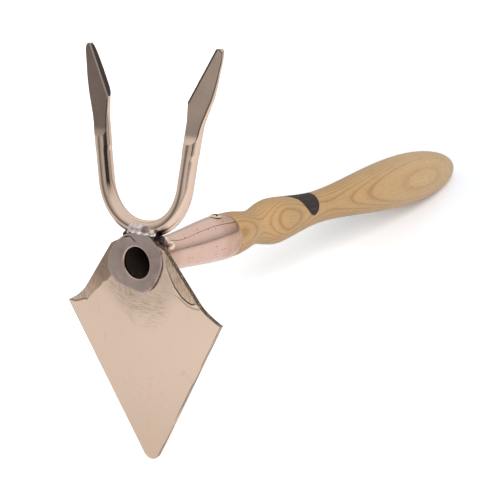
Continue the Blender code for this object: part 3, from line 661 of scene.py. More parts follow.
def weld_look(nodes):
    """Bright silvery weld with a few pits and a purple-brown patch, with painted shade behind the bar and in
    the pocket at its left.
    """
    y = nodes.y
    cloud = nodes.noise(260, 3)
    nodes.base(cloud.span(0.35, 0.65), (0.78, 0.71, 0.66), (0.40, 0.325, 0.29))
    bumps = nodes.near((6.5, 20.2, 7.5), 4, 1.5)
    nodes.paint(bumps, (0.86, 0.65, 0.56))
    nodes.paint(nodes.near((6.0, 1.0, 18.9), 1.6, 1.6), (0.20, 0.12, 0.12), 0.85)
    pits = nodes.cells(480).span(0.24, 0.12) * nodes.near((2.7, 1.0, 19.3), 1.2, 2.5)
    nodes.paint(pits, (0.07, 0.045, 0.04), 0.85)
    # Painted shade on the saddle behind the bar, which is also rougher there.
    painted_shade = y.span(5 * MM, 6.5 * MM) * y.span(17 * MM, 14.5 * MM) * nodes.z.span(3 * MM, 6 * MM)
    nodes.paint(painted_shade, (0.05, 0.028, 0.026), 0.92)
    # Painted shade in the pocket under the bar's left side, by the collar.
    nodes.paint(nodes.near((-10.4, 4.8, 14.5), 3.0, 1.2), (0.085, 0.05, 0.045))
    roughness = cloud.span(0.3, 0.7, 0.12, 0.24) + bumps * 0.2 + painted_shade * 0.35
    return roughness, nodes.bump(nodes.noise(500, 2, 0.5), 0.1 * MM, 0.6), 1.0


def brass_look(nodes):
    """Bright brass."""
    cloud = nodes.noise(500, 3)
    nodes.base(cloud.span(0.3, 0.7), (0.74, 0.62, 0.42), (0.62, 0.50, 0.33))
    return cloud.span(0.3, 0.7, 0.12, 0.22), nodes.bump(nodes.noise(2500, 2), 0.02 * MM, 0.4), 1.0


LOOKS = (                           # each material's name, its function and its plain colour
    ("pale_wood", wood_look, (0.6, 0.41, 0.22)),
    ("polished_copper", copper_look, (0.70, 0.51, 0.44)),
    ("blade_bronze", blade_look, (0.67, 0.51, 0.40)),
    ("sawn_bronze", edge_look, (0.36, 0.27, 0.19)),
    ("bar_bronze", bar_look, (0.58, 0.44, 0.35)),
    ("leaf_bronze", leaf_look, (0.50, 0.40, 0.33)),
    ("leaf_wall", wall_look, (0.12, 0.09, 0.08)),
    ("ground_bronze", collar_look, (0.44, 0.37, 0.35)),
    ("crack_dark", recess_shade_look, (0.05, 0.035, 0.03)),
    ("weld_metal", weld_look, (0.65, 0.56, 0.50)),
    ("screw_brass", brass_look, (0.68, 0.56, 0.38)),
)


# Socket, screw and handle

UPRIGHT = Matrix.Rotation(math.pi / 2, 4, "X")      # carries a shape turned about Y onto Z


def socket_radius(along):
    """Outside radius of the socket at a distance behind the mouth face."""
    flare_end = SOCKET_LENGTH - FLARE_END_FROM_RIM
    flare = ease((along - FLARE_FROM_MOUTH) / (flare_end - FLARE_FROM_MOUTH))
    radius = TUBE_RADIUS + (FLARE_RADIUS - TUBE_RADIUS) * flare
    crimp = max(0, along - (SOCKET_LENGTH - CRIMP_LENGTH)) / CRIMP_LENGTH
    return radius - CRIMP_DEPTH * crimp * crimp


def screw_matrix():
    """Where the screw's own frame lies: its head's foot on the socket, local Z outwards."""
    along = SOCKET_LENGTH - SCREW_FROM_RIM
    turn = Matrix.Rotation(SCREW_ANGLE, 4, "Y")
    return turn @ Matrix.Translation((0, along, socket_radius(along)))


def screw_hole():
    """The screw's countersunk hole."""
    head = SCREW_HEAD_RADIUS + 0.05 * MM
    shank = SCREW_SHANK_RADIUS + GAP
    tip = -SCREW_SINK - SCREW_LENGTH - GAP
    profile = [(0, FLARE_RADIUS), (head, FLARE_RADIUS), (head, 0)]
    profile += [(shank, -SCREW_SINK), (shank, tip), (0, tip)]
    mesh = lathe("screw_hole", profile, 48)
    mesh.transform(screw_matrix() @ UPRIGHT)
    return mesh


def socket_mesh():
    """Rolled socket with its seam, rim and rounded edges."""
    start = 1.5 * MM
    lip = 0.25 * MM
    outer = [(socket_radius(along), along) for along in steps_between(start, SOCKET_LENGTH - lip, 90)]
    inner = [(radius - SOCKET_WALL, along) for radius, along in outer]
    rim = socket_radius(SOCKET_LENGTH)
    end = [(rim - SOCKET_WALL + lip, SOCKET_LENGTH), (rim - lip, SOCKET_LENGTH)]
    tube = lathe("socket", outer[::-1] + inner + end, 144, wrap=True)
    loops = []
    for along, turn in SEAM_PATH:
        out = Vector((math.sin(math.radians(turn)), 0, math.cos(math.radians(turn))))
        aside = Vector((out.z, 0, -out.x)) * SEAM_WIDTH / 2
        middle = Vector((0, along * MM, 0))
        floor = middle + out * (socket_radius(along * MM) - SEAM_DEPTH)
        above = middle + out * 20 * MM
        loops.append([floor - aside, floor + aside, above + aside, above - aside])
    return carve(tube, [loft("seam", loops), screw_hole()])


def handle_profile():
    """The handle's (radius, along) pairs from its far end to the tenon's face."""
    shoulder = SOCKET_LENGTH + GAP
    neck = shoulder + NECK_FROM_SHOULDER
    swell = neck + SWELL_FROM_NECK
    grip = swell + GRIP_FROM_SWELL
    bulb = grip + BULB_FROM_GRIP
    shoulder_radius = socket_radius(SOCKET_LENGTH) + WOOD_PROUD
    points = [(0, bulb + END_FROM_BULB)]
    for turn in steps_between(math.pi / 2, 0, 48)[1:]:
        points.append((BULB_RADIUS * math.cos(turn), bulb + END_FROM_BULB * math.sin(turn)))
    stretches = (
        (grip, GRIP_RADIUS, bulb, BULB_RADIUS, 0.9),
        (swell, SWELL_RADIUS, grip, GRIP_RADIUS, 0.8),
        (neck, NECK_RADIUS, swell, SWELL_RADIUS, 0.95),
        (shoulder + 0.3 * MM, shoulder_radius, neck, NECK_RADIUS, 1.25),
    )
    for start, start_radius, end, end_radius, skew in stretches:
        for along in steps_between(end, start, 48)[1:]:
            share = ease((along - start) / (end - start), skew)
            points.append((start_radius + (end_radius - start_radius) * share, along))
    tenon_end = SOCKET_LENGTH - TENON_LENGTH
    bore_gap = SOCKET_WALL + 0.05 * MM
    points += [(shoulder_radius - 0.3 * MM, shoulder), (socket_radius(SOCKET_LENGTH) - bore_gap, shoulder)]
    for along in steps_between(SOCKET_LENGTH, tenon_end + TENON_CHAMFER, 24):
        points.append((socket_radius(along) - bore_gap, along))
    return points + [(socket_radius(tenon_end) - bore_gap - TENON_CHAMFER, tenon_end), (0, tenon_end)]


def handle_mesh():
    """Turned handle, a hair smaller than the faceted one so that it stays in its box."""
    profile = [(max(radius - 0.04 * MM, 0), along) for radius, along in handle_profile()]
    return carve(lathe("handle", profile, 128), [screw_hole()])


def screw_mesh(brass, recess):
    """Raised countersunk screw with a cross recess, its edges rounded."""
    head, rim = SCREW_HEAD_RADIUS, 0.25 * MM
    points = [(0, SCREW_HEAD_RISE)]
    for turn in steps_between(math.pi / 2, 0.12, 14)[1:]:
        points.append((head * math.cos(turn), SCREW_HEAD_RISE * math.sin(turn)))
    points += [(head, -0.05 * MM), (head - rim, -rim), (SCREW_SHANK_RADIUS, -SCREW_SINK)]
    tip = -SCREW_SINK - SCREW_LENGTH
    points += [(SCREW_SHANK_RADIUS, tip + SCREW_SHANK_RADIUS), (0, tip)]
    body = lathe("screw", points, 64)
    body.transform(UPRIGHT)
    slots = []
    for quarter in range(2):
        turn = Matrix.Rotation(SCREW_SLOT_TURN + quarter * math.pi / 2, 4, "Z")
        slots.append(block("slot", (SLOT_LENGTH, SLOT_WIDTH, SLOT_DEPTH * 2), (0, 0, SCREW_HEAD_RISE), turn))
    body.materials.append(brass)
    # The recess takes the painted shade finish.
    carved = carve(body, slots, recess)
    carved.transform(screw_matrix())
    return carved


# Blade, whose marks are given in millimetres across and up its front plane

CREASE_RIGHT = (
    (17.9, 12), (18.3, 6.9), (19.4, 0.9), (21.8, -5.3), (24.1, -10.1), (26.4, -12.9), (28.8, -15.6),
    (32.3, -17.7), (34.6, -18.5), (36.6, -18.2),
)
CREASE_LEFT = (
    (-19.8, -9.5), (-23.3, -12.7), (-25.9, -13.8), (-28.3, -16.8), (-32.8, -20.1), (-36.0, -23.2),
    (-38.8, -26.0), (-40.6, -25.9), (-44.9, -27.5), (-48.0, -28.3), (-51.4, -27.8), (-55.0, -27.2),
)
SCAR_RIGHT = (
    (20.5, -12.0), (22.8, -14.5), (26.7, -16.0), (30.2, -18.6), (32.4, -19.8), (35.3, -20.5), (37.6, -20.8),
    (40.1, -20.6),
)
SCAR_LEFT = CREASE_LEFT[10:5:-1]
MARKS_END = -31                     # no line is drawn below this height
GROOVE_DEPTH = (0.04, 0.10)         # such pairs hold the left side's value and the right side's
GROOVE_WIDTH = 0.32
LINE_WIDTH = (0.36, 0.30)
LEFT_STRENGTH = 0.45
BEAD_HEIGHT = 0.05
BEAD_OUTSIDE = 0.8
BEAD_WIDTH = 0.5
FLANK_TILT = (math.radians(2.2), math.radians(1.0))
FLANK_ROUNDING = 0.5
SCAR_DEPTH = 0.03
SCAR_WIDTH = 0.5
RIM_WIDTH = 0.32 * MM               # the painted shade line along the left edge
BLADE_COLUMNS = 210
BLADE_BACK_COLUMNS = 30


def nearest_on(line, x, height):
    """(distance, side, share) of the nearest place on a bent line; the side is 1 to the left of its run."""
    best = None
    for index, (first, second) in enumerate(zip(line, line[1:])):
        run_x, run_z = second[0] - first[0], second[1] - first[1]
        off_x, off_z = x - first[0], height - first[1]
        share = min(max((off_x * run_x + off_z * run_z) / (run_x * run_x + run_z * run_z), 0), 1)
        distance = math.hypot(off_x - run_x * share, off_z - run_z * share)
        if best is None or distance < best[0]:
            side = math.copysign(1, run_x * off_z - run_z * off_x)
            best = (distance, side, (index + share) / (len(line) - 1))
    return best


def bell(distance, width):
    """A smooth bump: 1 on a line and near 0 at twice its width."""
    return math.exp(-(distance / width) ** 2)


def front_marks(x, height):
    """What the front has at a place: how far it stands back in millimetres, and its line, scar and flank."""
    if height < MARKS_END:
        return 0.0, 0.0, 0.0, 0.0
    right = x > 0
    distance, side, share = nearest_on(CREASE_RIGHT if right else CREASE_LEFT, x, height)
    outside = distance * side * (1 if right else -1)
    strength = ease((share - 0.12) / 0.3) if right else LEFT_STRENGTH
    end = 1 - ease((share - 0.97) / 0.03)
    groove = GROOVE_DEPTH[right] * bell(distance, GROOVE_WIDTH) * strength
    bead = -BEAD_HEIGHT * bell(outside + BEAD_OUTSIDE, BEAD_WIDTH) * strength * (1 if right else end)
    bend = math.tan(FLANK_TILT[right]) * (math.sqrt(outside * outside + FLANK_ROUNDING) + outside) / 2
    line = bell(distance, LINE_WIDTH[right]) * strength
    scar_distance, _, scar_share = nearest_on(SCAR_RIGHT if right else SCAR_LEFT, x, height)
    scar = bell(scar_distance, SCAR_WIDTH) * (ease(scar_share / 0.4) if right else 1)
    flank = ease((outside + 0.4) / 0.8)
    return groove + bead + bend + SCAR_DEPTH * scar, line, scar, flank


def blade_half_width(height):
    """Half the blade's width at a height, above the tip's arc."""
    corner_x, corner_z = BLADE_WIDTH / 2, -SHOULDER_DROP
    sweep_x = NECK_WIDTH / 2 + math.tan(NECK_SLOPE) * (NECK_RISE + SCALLOP_DROP)
    if height >= NECK_RISE:
        share = (height - NECK_RISE) / (BLADE_TOP - NECK_RISE)
        return (NECK_WIDTH + (BLADE_TOP_WIDTH - NECK_WIDTH) * share) / 2
    if height >= -SCALLOP_DROP:
        return NECK_WIDTH / 2 + math.tan(NECK_SLOPE) * (NECK_RISE - height)
    rise, fall = math.tan(SHOULDER_SLOPE), 1 / math.tan(NECK_SLOPE)
    turn_x = (corner_z + rise * corner_x + SCALLOP_DROP - fall * sweep_x) / (rise - fall)
    turn_z = -SCALLOP_DROP - fall * (turn_x - sweep_x)
    if height >= corner_z:
        low, high = 0.0, 1.0
        for _ in range(40):
            share = (low + high) / 2
            z = -SCALLOP_DROP * (1 - share) ** 2 + 2 * turn_z * share * (1 - share) + corner_z * share ** 2
            if z > height:
                low = share
            else:
                high = share
        return sweep_x * (1 - share) ** 2 + 2 * turn_x * share * (1 - share) + corner_x * share ** 2
    tip = -BLADE_REACH + BLADE_TIP_RADIUS
    away_x, away_z = -corner_x, tip - corner_z
    lean = math.atan2(-away_x, -away_z) - math.asin(BLADE_TIP_RADIUS / math.hypot(away_x, away_z))
    touch_z = tip + BLADE_TIP_RADIUS * math.sin(-lean)
    if height >= touch_z:
        return corner_x - (corner_z - height) * math.tan(lean)
    return math.sqrt(max(BLADE_TIP_RADIUS ** 2 - (tip - height) ** 2, 0))


def blade_rows():
    """Heights of the blade's rows, close together where its front has marks."""
    tip = -BLADE_REACH + BLADE_TIP_RADIUS
    stops = (BLADE_TOP, NECK_RISE, -8 * MM, -SHOULDER_DROP, -SHOULDER_DROP - 2.5 * MM, tip)
    rows = [BLADE_TOP]
    for first, last, count in zip(stops, stops[1:], (6, 34, 64, 5, 36)):
        rows += steps_between(first, last, count)[1:]
    return rows + [tip - BLADE_TIP_RADIUS * math.sin(turn) for turn in steps_between(0, math.pi / 2, 24)[1:]]


def on_blade(x, height, back):
    """A point of the blade, from its place across, its height and its depth behind the front face."""
    return Vector((x, BLADE_SETBACK + back * math.cos(BLADE_LEAN) - height * math.sin(BLADE_LEAN),
                   height * math.cos(BLADE_LEAN) + back * math.sin(BLADE_LEAN)))


def blade_loop(height):
    """One slice of the blade: the marked front, the eased edges and the plain back."""
    half = blade_half_width(height)
    eased = min(0.28 * MM, half * 0.3)
    flat = half - eased
    across = steps_between(-flat, flat, BLADE_COLUMNS)
    fronts = [(x, front_marks(x / MM, height / MM)[0] * MM) for x in across]
    backs = [(x, BLADE_THICKNESS) for x in steps_between(flat, -flat, BLADE_BACK_COLUMNS)]
    loop = fronts + [(half, fronts[-1][1] + eased), (half, BLADE_THICKNESS - eased)]
    loop += backs + [(-half, BLADE_THICKNESS - eased), (-half, fronts[0][1] + eased)]
    return [on_blade(x, height, back) for x, back in loop]


def blade_mesh(polished, edge):
    """Blade plate with creased flanks, eased edges, rough walls and the hole for the tube."""
    mesh = loft("blade", [blade_loop(height) for height in blade_rows()])
    radius = TUBE_RADIUS + 0.05 * MM
    mesh.materials.append(polished)
    mesh.materials.append(edge)
    mesh = carve(mesh, [rod("hole", radius)])
    facing = on_blade(0, 0, 0) - on_blade(0, 0, 1)
    for face in mesh.polygons:
        if abs(face.normal.dot(facing)) < 0.8 and face.center.xz.length > radius + MM:
            face.material_index = 1
    paint_front(mesh)
    return mesh


def paint_front(mesh):
    """Paint the marks of the blade's front on its points, for its material."""
    painted = {name: [0.0] * len(mesh.vertices) for name in ("line", "scar", "flank")}
    origin = on_blade(0, 0, 0)
    up = on_blade(0, 1, 0) - origin
    inwards = on_blade(0, 0, 1) - origin
    for index, vertex in enumerate(mesh.vertices):
        offset = vertex.co - origin
        height = offset.dot(up)
        if offset.dot(inwards) < BLADE_THICKNESS * 0.7:
            _, line, painted["scar"][index], painted["flank"][index] = front_marks(offset.x / MM, height / MM)
            # The painted shade line: the creases' lines, and the left edge's rim in full.
            left_edge = offset.x < RIM_WIDTH - blade_half_width(height)
            painted["line"][index] = 1.0 if left_edge else line
    for name, values in painted.items():
        mesh.attributes.new(name, "FLOAT", "POINT").data.foreach_set("value", values)


# Collar

COLLAR_SECTIONS = 216
COLLAR_STEP = 1.6 * MM              # where the collar's bore widens round the tube
CRACK = ((-8.8, 13.0), (-7.0, 13.7), (-5.6, 14.1), (-4.2, 14.5), (-2.8, 13.8), (-1.1, 12.4), (0.3, 11.4))
CRACK_WIDTH = 0.52 * MM
CRACK_DEPTH = 0.7 * MM


def collar_radius(turn):
    """The collar's outline, smooth through its radii."""
    count = len(COLLAR_OUTLINE)
    index, share = divmod(turn / math.tau * count, 1)
    before, here, after, last = (COLLAR_OUTLINE[(int(index) + step) % count] for step in (-1, 0, 1, 2))
    third = 3 * (here - after) + last - before
    second = 2 * before - 5 * here + 4 * after - last
    return (here + share / 2 * (after - before + share * (second + share * third))) * MM


def collar_section(turn):
    """One slice of the collar: (radius, depth behind the mouth) from its bore round to its back."""
    reach = collar_radius(turn)
    behind = BLADE_SETBACK + BLADE_THICKNESS - 0.25 * MM
    wave = ring_noise(turn, 0.3, 3.1)
    ripple = ring_noise(turn, 1.7, 9) * 0.22 * MM
    rounding = (0.55 + 0.3 * wave) * MM
    section = [
        (MOUTH_RADIUS, COLLAR_STEP), (MOUTH_RADIUS, 0.75 * MM), (MOUTH_RADIUS + 0.1 * MM, 0.5 * MM),
        (MOUTH_RADIUS + 0.55 * MM, 0.05 * MM), (MOUTH_RADIUS + 0.75 * MM, 0),
    ]
    flat_end = reach - rounding
    section += [(radius, 0) for radius in steps_between(MOUTH_RADIUS + 1.0 * MM, flat_end, 8)]
    for tilt in steps_between(0.25, math.pi / 2, 6):
        section.append((flat_end + rounding * math.sin(tilt), rounding * (1 - math.cos(tilt))))
    section += [(reach + ripple, 1.0 * MM), (reach - 0.1 * MM, 1.25 * MM), (reach - 0.25 * MM, 1.5 * MM)]
    section += [(reach + ripple, 2.0 * MM), (reach + ripple, behind)]
    return section + [(TUBE_RADIUS, behind), (TUBE_RADIUS, COLLAR_STEP)]


def swept(name, line, half_width, front, back, shift=0.0):
    """A strip with pointed ends along a line on the collar's face, between two depths."""
    loops = []
    last = len(line) - 1
    for index, (x, z) in enumerate(line):
        before, after = line[max(index - 1, 0)], line[min(index + 1, last)]
        run = Vector((after[0] - before[0], after[1] - before[1])).normalized()
        across = Vector((-run.y, run.x))
        middle = Vector((x, z)) * MM + across * shift
        width = half_width * (0.15 if index in (0, last) else 1)
        left, right = middle + across * width, middle - across * width
        loops.append([(left.x, front, left.y), (right.x, front, right.y), (middle.x, back, middle.y)])
    return loft(name, loops)


def collar_mesh(ground, recess_shade):
    """Ring ground flat at the front, with a lumpy wall, a bevel and a crack with a lifted lip."""
    loops = []
    for i in range(COLLAR_SECTIONS):
        turn = math.tau * i / COLLAR_SECTIONS
        loops.append([(radius * math.cos(turn), depth, radius * math.sin(turn))
                      for radius, depth in collar_section(turn)])
    mesh = loft("collar", loops, wrap=True)
    mesh.materials.append(ground)
    bevel = Matrix.Translation((FACET_FROM_AXIS, 0, 0)) @ Matrix.Rotation(-FACET_TURN, 4, "Z")
    mesh = carve(mesh, [block("facet", (FAR, FAR, FAR), (FAR / 2, 0, 0), bevel)])
    lip = swept("lip", CRACK, 0.3 * MM, 0.3 * MM, -0.14 * MM, 0.42 * MM)
    mesh = carve(mesh, [lip], operation="UNION")
    # The crack's inside takes the painted shade finish.
    crack = swept("crack", CRACK, CRACK_WIDTH, -CRACK_WIDTH, CRACK_DEPTH)
    return carve(mesh, [crack], recess_shade)


# Fork

BAR_SIDES = 48
BORDER_FROM = 62 * MM
BORDER_SCALE = 10                   # brings the border's places into a ramp's range
BORDER_STOPS = 20
BORDER_INSET = 0.45 * MM
CROWDING = 1.35                     # how much closer together the leaf's rings lie at its tip
LEAST_WIDTH = 0.045


def fork_depth(z):
    """How far the middle of the bar lies behind the mouth face at a height."""
    seat = TUBE_RADIUS + FORK_SEAT + BAR_RADIUS
    above = (z - seat) / (FORK_TIP - seat)
    return FORK_SETBACK + (z - seat) * math.tan(FORK_LEAN) + FORK_SWEEP * above * abs(above)


def tine_stations():
    """Rings of one tine: (x, z, half width, half depth), from the bottom of the U to the tip."""
    bottom = Vector((0, TUBE_RADIUS + FORK_SEAT + BAR_RADIUS))
    end = bottom + Vector((BEND_WIDTH / 2, BEND_HEIGHT))
    from_bottom = bottom + Vector((BEND_WIDTH * BEND_FLATNESS, 0))
    rise = BEND_HEIGHT * BEND_FULLNESS
    to_end = end - Vector((rise * math.tan(TINE_SPLAY), rise))
    rings = []
    for share in steps_between(0, 1, 48):
        rest = 1 - share
        point = (bottom * rest ** 3 + from_bottom * 3 * rest * rest * share
                 + to_end * 3 * rest * share * share + end * share ** 3)
        rings.append((point.x, point.y, BAR_RADIUS, BAR_RADIUS))
    foot_x, foot_z = end
    leaf_foot = FORK_TIP - LEAF_LENGTH
    splay = math.tan(TINE_SPLAY)
    for z in steps_between(foot_z, leaf_foot, 12)[1:-1]:
        rings.append((foot_x + splay * (z - foot_z), z, BAR_RADIUS, BAR_RADIUS))
    for share in steps_between(0, 1, 90):
        share = 1 - (1 - share) ** CROWDING
        flare, width, flat = curve_value(LEAF_STATIONS, share)
        z = leaf_foot + LEAF_LENGTH * share
        x = foot_x + splay * (z - foot_z) + LEAF_FLARE * flare
        half_depth = BAR_RADIUS + (LEAF_DEPTH / 2 - BAR_RADIUS) * flat
        rings.append((x, z, LEAF_WIDTH / 2 * max(width, LEAST_WIDTH), half_depth))
    return rings


def bar_mesh():
    """The whole bar, from the left tip round the bend to the right tip."""
    right = tine_stations()
    rings = [(-x, z, width, depth) for x, z, width, depth in reversed(right[1:])] + right
    loops = []
    for index, (x, z, half_width, half_depth) in enumerate(rings):
        before, after = rings[max(index - 1, 0)], rings[min(index + 1, len(rings) - 1)]
        run = Vector((after[0] - before[0], 0, after[1] - before[1])).normalized()
        across = Vector((run.z, 0, -run.x))
        middle = Vector((x, fork_depth(z), z))
        fuller = right_fullness(z)
        loop = []
        for side in range(BAR_SIDES):
            angle = math.tau * side / BAR_SIDES
            back = Vector((0, half_depth * math.sin(angle), 0))
            outer = half_width + (fuller if x > 0 and math.cos(angle) > 0 else 0)
            loop.append(middle + across * outer * math.cos(angle) + back)
        loops.append(loop)
    return loft("fork", loops)


def tip_face():
    """The height of the tines' tips, and how far their ground faces lie behind the mouth there."""
    tip_z, _, tip_half_depth = tine_stations()[-1][1:]
    return tip_z, fork_depth(tip_z) + tip_half_depth - LEAF_TIP_THICKNESS


WHEEL_DEPTH = 60 * MM
WHEEL_ABOVE = 40 * MM
WHEEL_HALF_WIDTH = 70 * MM


def leaf_face_tool():
    """The grinding wheel's path over the front of both leaves, with its round run-out."""
    tip_z, face_depth = tip_face()
    start = (RUN_OUT_HEIGHT - tip_z) / math.cos(LEAF_FACE_SLOPE)
    outline = [(-WHEEL_DEPTH, WHEEL_ABOVE), (0, WHEEL_ABOVE)]
    for turn in steps_between(0, math.pi / 2, 24):
        outline.append((-RUN_OUT_RADIUS * (1 - math.cos(turn)), start - RUN_OUT_RADIUS * math.sin(turn)))
    outline.append((-WHEEL_DEPTH, outline[-1][1]))
    sides = (-WHEEL_HALF_WIDTH, WHEEL_HALF_WIDTH)
    mesh = loft("leaf_face", [[(side, y, z) for y, z in outline] for side in sides])
    slope = Matrix.Rotation(-LEAF_FACE_SLOPE, 4, "X")
    mesh.transform(Matrix.Translation((0, face_depth, tip_z)) @ slope)
    return mesh


def right_fullness(z):
    """How much fuller the right leaf's outer side is at a height."""
    near_tip = max(0, z - FORK_TIP + 6 * MM) / (6 * MM)
    return RIGHT_FULLNESS * ease((z - 70 * MM) / (24 * MM)) * math.sqrt(max(0, 1 - near_tip ** 2))


def leaf_border(side):
    """The border of a leaf's flat face, as stops of (height, distance from the middle) for a ramp.

    Side 1 is the outer border of the right leaf, and side -1 the inner one of the left leaf.
    """
    rings = tine_stations()
    tip_z, face_depth = tip_face()
    stops = []
    for height in steps_between(BORDER_FROM, FORK_TIP, BORDER_STOPS):
        x, z, half_width, half_depth = min(rings, key=lambda ring: abs(ring[1] - height))
        depth = face_depth + (z - tip_z) * math.tan(LEAF_FACE_SLOPE) - fork_depth(z)
        reach = math.sqrt(max(0, 1 - (depth / half_depth) ** 2))
        half_width += right_fullness(z) if side > 0 else 0
        place = x + side * (half_width * reach - BORDER_INSET)
        stops.append(((height - BORDER_FROM) / (FORK_TIP - BORDER_FROM), place * BORDER_SCALE))
    return stops


def leaf_edge_place():
    """How far the inner wall's plane lies from the tool's axis, square to it."""
    tip_x, tip_z = tine_stations()[-1][:2]
    return (tip_x - LEAF_TIP_WIDTH / 2) * math.cos(LEAF_EDGE_SLOPE) - tip_z * math.sin(LEAF_EDGE_SLOPE)


def leaf_edge_tool():
    """The plane that the inner edge of the right leaf is ground to."""
    tip_x, tip_z = tine_stations()[-1][:2]
    top = Matrix.Translation((tip_x - LEAF_TIP_WIDTH / 2, 0, tip_z))
    slope = Matrix.Rotation(LEAF_EDGE_SLOPE, 4, "Y")
    return block("leaf_edge", (40 * MM, FAR, 50 * MM), (-20 * MM, 0, -15 * MM), top @ slope)


def fork_mesh(bar, leaf, edge):
    """U-bent bar with two ground leaves."""
    mesh = bar_mesh()
    mesh.materials.append(bar)
    right = leaf_edge_tool()
    left = right.copy()
    left.transform(Matrix.Scale(-1, 4, (1, 0, 0)))
    left.flip_normals()
    mesh = carve(mesh, [leaf_face_tool()], leaf)
    return carve(mesh, [right, left], edge)


# Welds

def blob(name, lumps, voxel, scale, roughen=0.16 * MM):
    """One lumpy mesh from ellipsoids (centre, radii, turn about Y in degrees), in millimetres."""
    shape = bmesh.new()
    for centre, radii, turn in lumps:
        matrix = Matrix.Translation(Vector(centre) * MM) @ Matrix.Rotation(math.radians(turn), 4, "Y")
        matrix = matrix @ Matrix.Diagonal((*[radius * MM for radius in radii], 1))
        bmesh.ops.create_uvsphere(shape, u_segments=32, v_segments=20, radius=1, matrix=matrix)
    made = new_object(name, mesh_of(name, shape))
    remesh = made.modifiers.new("skin", "REMESH")
    remesh.mode = "VOXEL"
    remesh.voxel_size = voxel
    soften = made.modifiers.new("soften", "SMOOTH")
    soften.factor = 0.5
    soften.iterations = 4
    result = evaluated_mesh(made)
    normals = [vertex.normal.copy() for vertex in result.vertices]
    for vertex, normal in zip(result.vertices, normals):
        vertex.co += normal * noise.fractal(vertex.co * scale, 0.6, 2.2, 4) * roughen
    result.update()
    return result


def front_weld_mesh():
    """Bright nugget between the bar and the top of the collar."""
    lumps = (
        ((-2.8, 2.4, 18.3), (3.8, 2.6, 3.5), 0), ((1.6, 2.2, 18.0), (3.7, 2.7, 3.3), 8),
        ((6.0, 2.2, 17.6), (3.7, 2.6, 3.1), 12), ((9.2, 2.6, 16.8), (2.3, 2.1, 2.3), 30),
        ((-5.2, 2.8, 16.7), (1.9, 1.9, 1.9), 0), ((1.5, 4.4, 18.6), (6.6, 2.4, 2.2), 4),
        ((-7.2, 4.4, 15.6), (2.6, 2.2, 1.7), -25), ((-10.0, 4.8, 14.5), (2.5, 2.2, 1.7), -35),
    )
    return blob("front_weld", lumps, 0.2 * MM, 300)


def back_weld_mesh():
    """Weld that saddles the tube behind the blade and carries the bar."""
    lumps = (
        ((0, 9.0, 12.5), (8.0, 3.4, 4.0), 0), ((0, 10.5, 14.5), (6.0, 4.5, 3.6), 0),
        ((7.0, 11.5, 11.0), (3.2, 3.6, 3.2), 35), ((-7.0, 11.0, 11.0), (3.2, 3.6, 3.2), -35),
        ((4.4, 20.2, 9.1), (2.3, 2.4, 1.9), 30), ((7.7, 19.9, 6.4), (2.5, 2.9, 3.2), 48),
        ((-6.4, 15.0, 9.9), (2.2, 2.3, 1.8), -32), ((0.5, 15.5, 12.6), (3.4, 2.6, 2.6), 0),
        ((3.6, 14.4, 12.4), (2.6, 2.4, 2.2), 15), ((-3.2, 14.6, 12.4), (2.6, 2.4, 2.2), -15),
        ((10.0, 10.0, 8.4), (1.8, 2.8, 2.4), 50), ((-10.0, 10.0, 8.4), (1.8, 2.8, 2.4), -50),
    )
    return carve(blob("back_weld", lumps, 0.3 * MM, 330), [rod("bore", TUBE_RADIUS - 0.4 * MM)])


FILLET_ENDS = (math.radians(58), math.radians(302))
FILLET_LEG = 3.9 * MM
FILLET_FOOT = 0.4 * MM
FILLET_SINK = 0.6 * MM
RIPPLE_TURNS = 17
RIPPLE_HEIGHT = 0.35 * MM


def blade_weld_mesh():
    """Rippled fillet of weld behind the blade, round the under side of the tube."""
    loops = []
    inner = TUBE_RADIUS - 0.2 * MM
    back = BLADE_SETBACK + BLADE_THICKNESS
    for turn in steps_between(*FILLET_ENDS, 150):
        ripple = abs(math.sin(turn * RIPPLE_TURNS)) * RIPPLE_HEIGHT
        wander = ring_noise(turn, 0, 3) * 0.4 * MM
        leg = FILLET_LEG + ripple + wander
        section = [(0.0, back + leg)]
        for tilt in steps_between(math.pi / 2, 0, 8):
            section.append((FILLET_FOOT + (leg - FILLET_FOOT) * math.cos(tilt), back + leg * math.sin(tilt)))
        section += [(leg, back - FILLET_SINK), (0.0, back - FILLET_SINK)]
        loop = []
        for out, y in section:
            z = (inner + out) * math.cos(turn)
            loop.append(((inner + out) * math.sin(turn), y - z * math.tan(BLADE_LEAN), z))
        loops.append(loop)
    return loft("blade_weld", loops)


# Floor, light and camera

FLOOR_SIZE = 4
FLOOR_DROP = 0.1 * MM
FLOOR_GLOW = 0.30
FLOOR_NEAR = (1.29, 1.30, 1.31)     # how pale the camera sees the floor, so that only shadow is left
FLOOR_FAR = (2.0, 2.0, 2.0)
# Painted shadow: the floor is seen darker by the bulb, deepening and cooling its real shadow, and by the
# blade's tip, as a contact shadow.
FLOOR_BULB_SHADOW = (1.17, 1.23, 1.33)
FLOOR_TIP_SHADOW = (1.16, 1.17, 1.18)
WORLD_LIGHT = 0.55
CAMERA_WAY = (0.85, -0.53, 0.0)     # towards the dark side of the studio, behind the camera
STUDIO_FRONT = ((0.0, 0.34), (0.10, 0.20), (0.30, 0.26), (0.48, 0.55), (0.75, 1.0))
STUDIO_AROUND = ((0.0, 0.8), (0.14, 0.8), (0.2, 0.62), (0.42, 0.62), (0.55, 0.7), (0.75, 1.0))
STUDIO_VIEWER = ((0.0, 0.74), (0.03, 0.74), (0.08, 0.04), (0.42, 0.04), (0.55, 0.5), (0.75, 1.0))
STUDIO_PIVOT = 0.45
STUDIO_TILT = 0.15                  # how much the studio's bands rise to one side of the pivot
STUDIO_BACK = ((0.0, 0.28), (0.03, 0.58), (0.3, 0.95), (0.45, 1.0))
KEY_PLACE = (0.85, -0.88, 0.95)
KEY_TARGET = (0, 0, 0.06)
KEY_SIZE = 0.7
KEY_POWER = 17
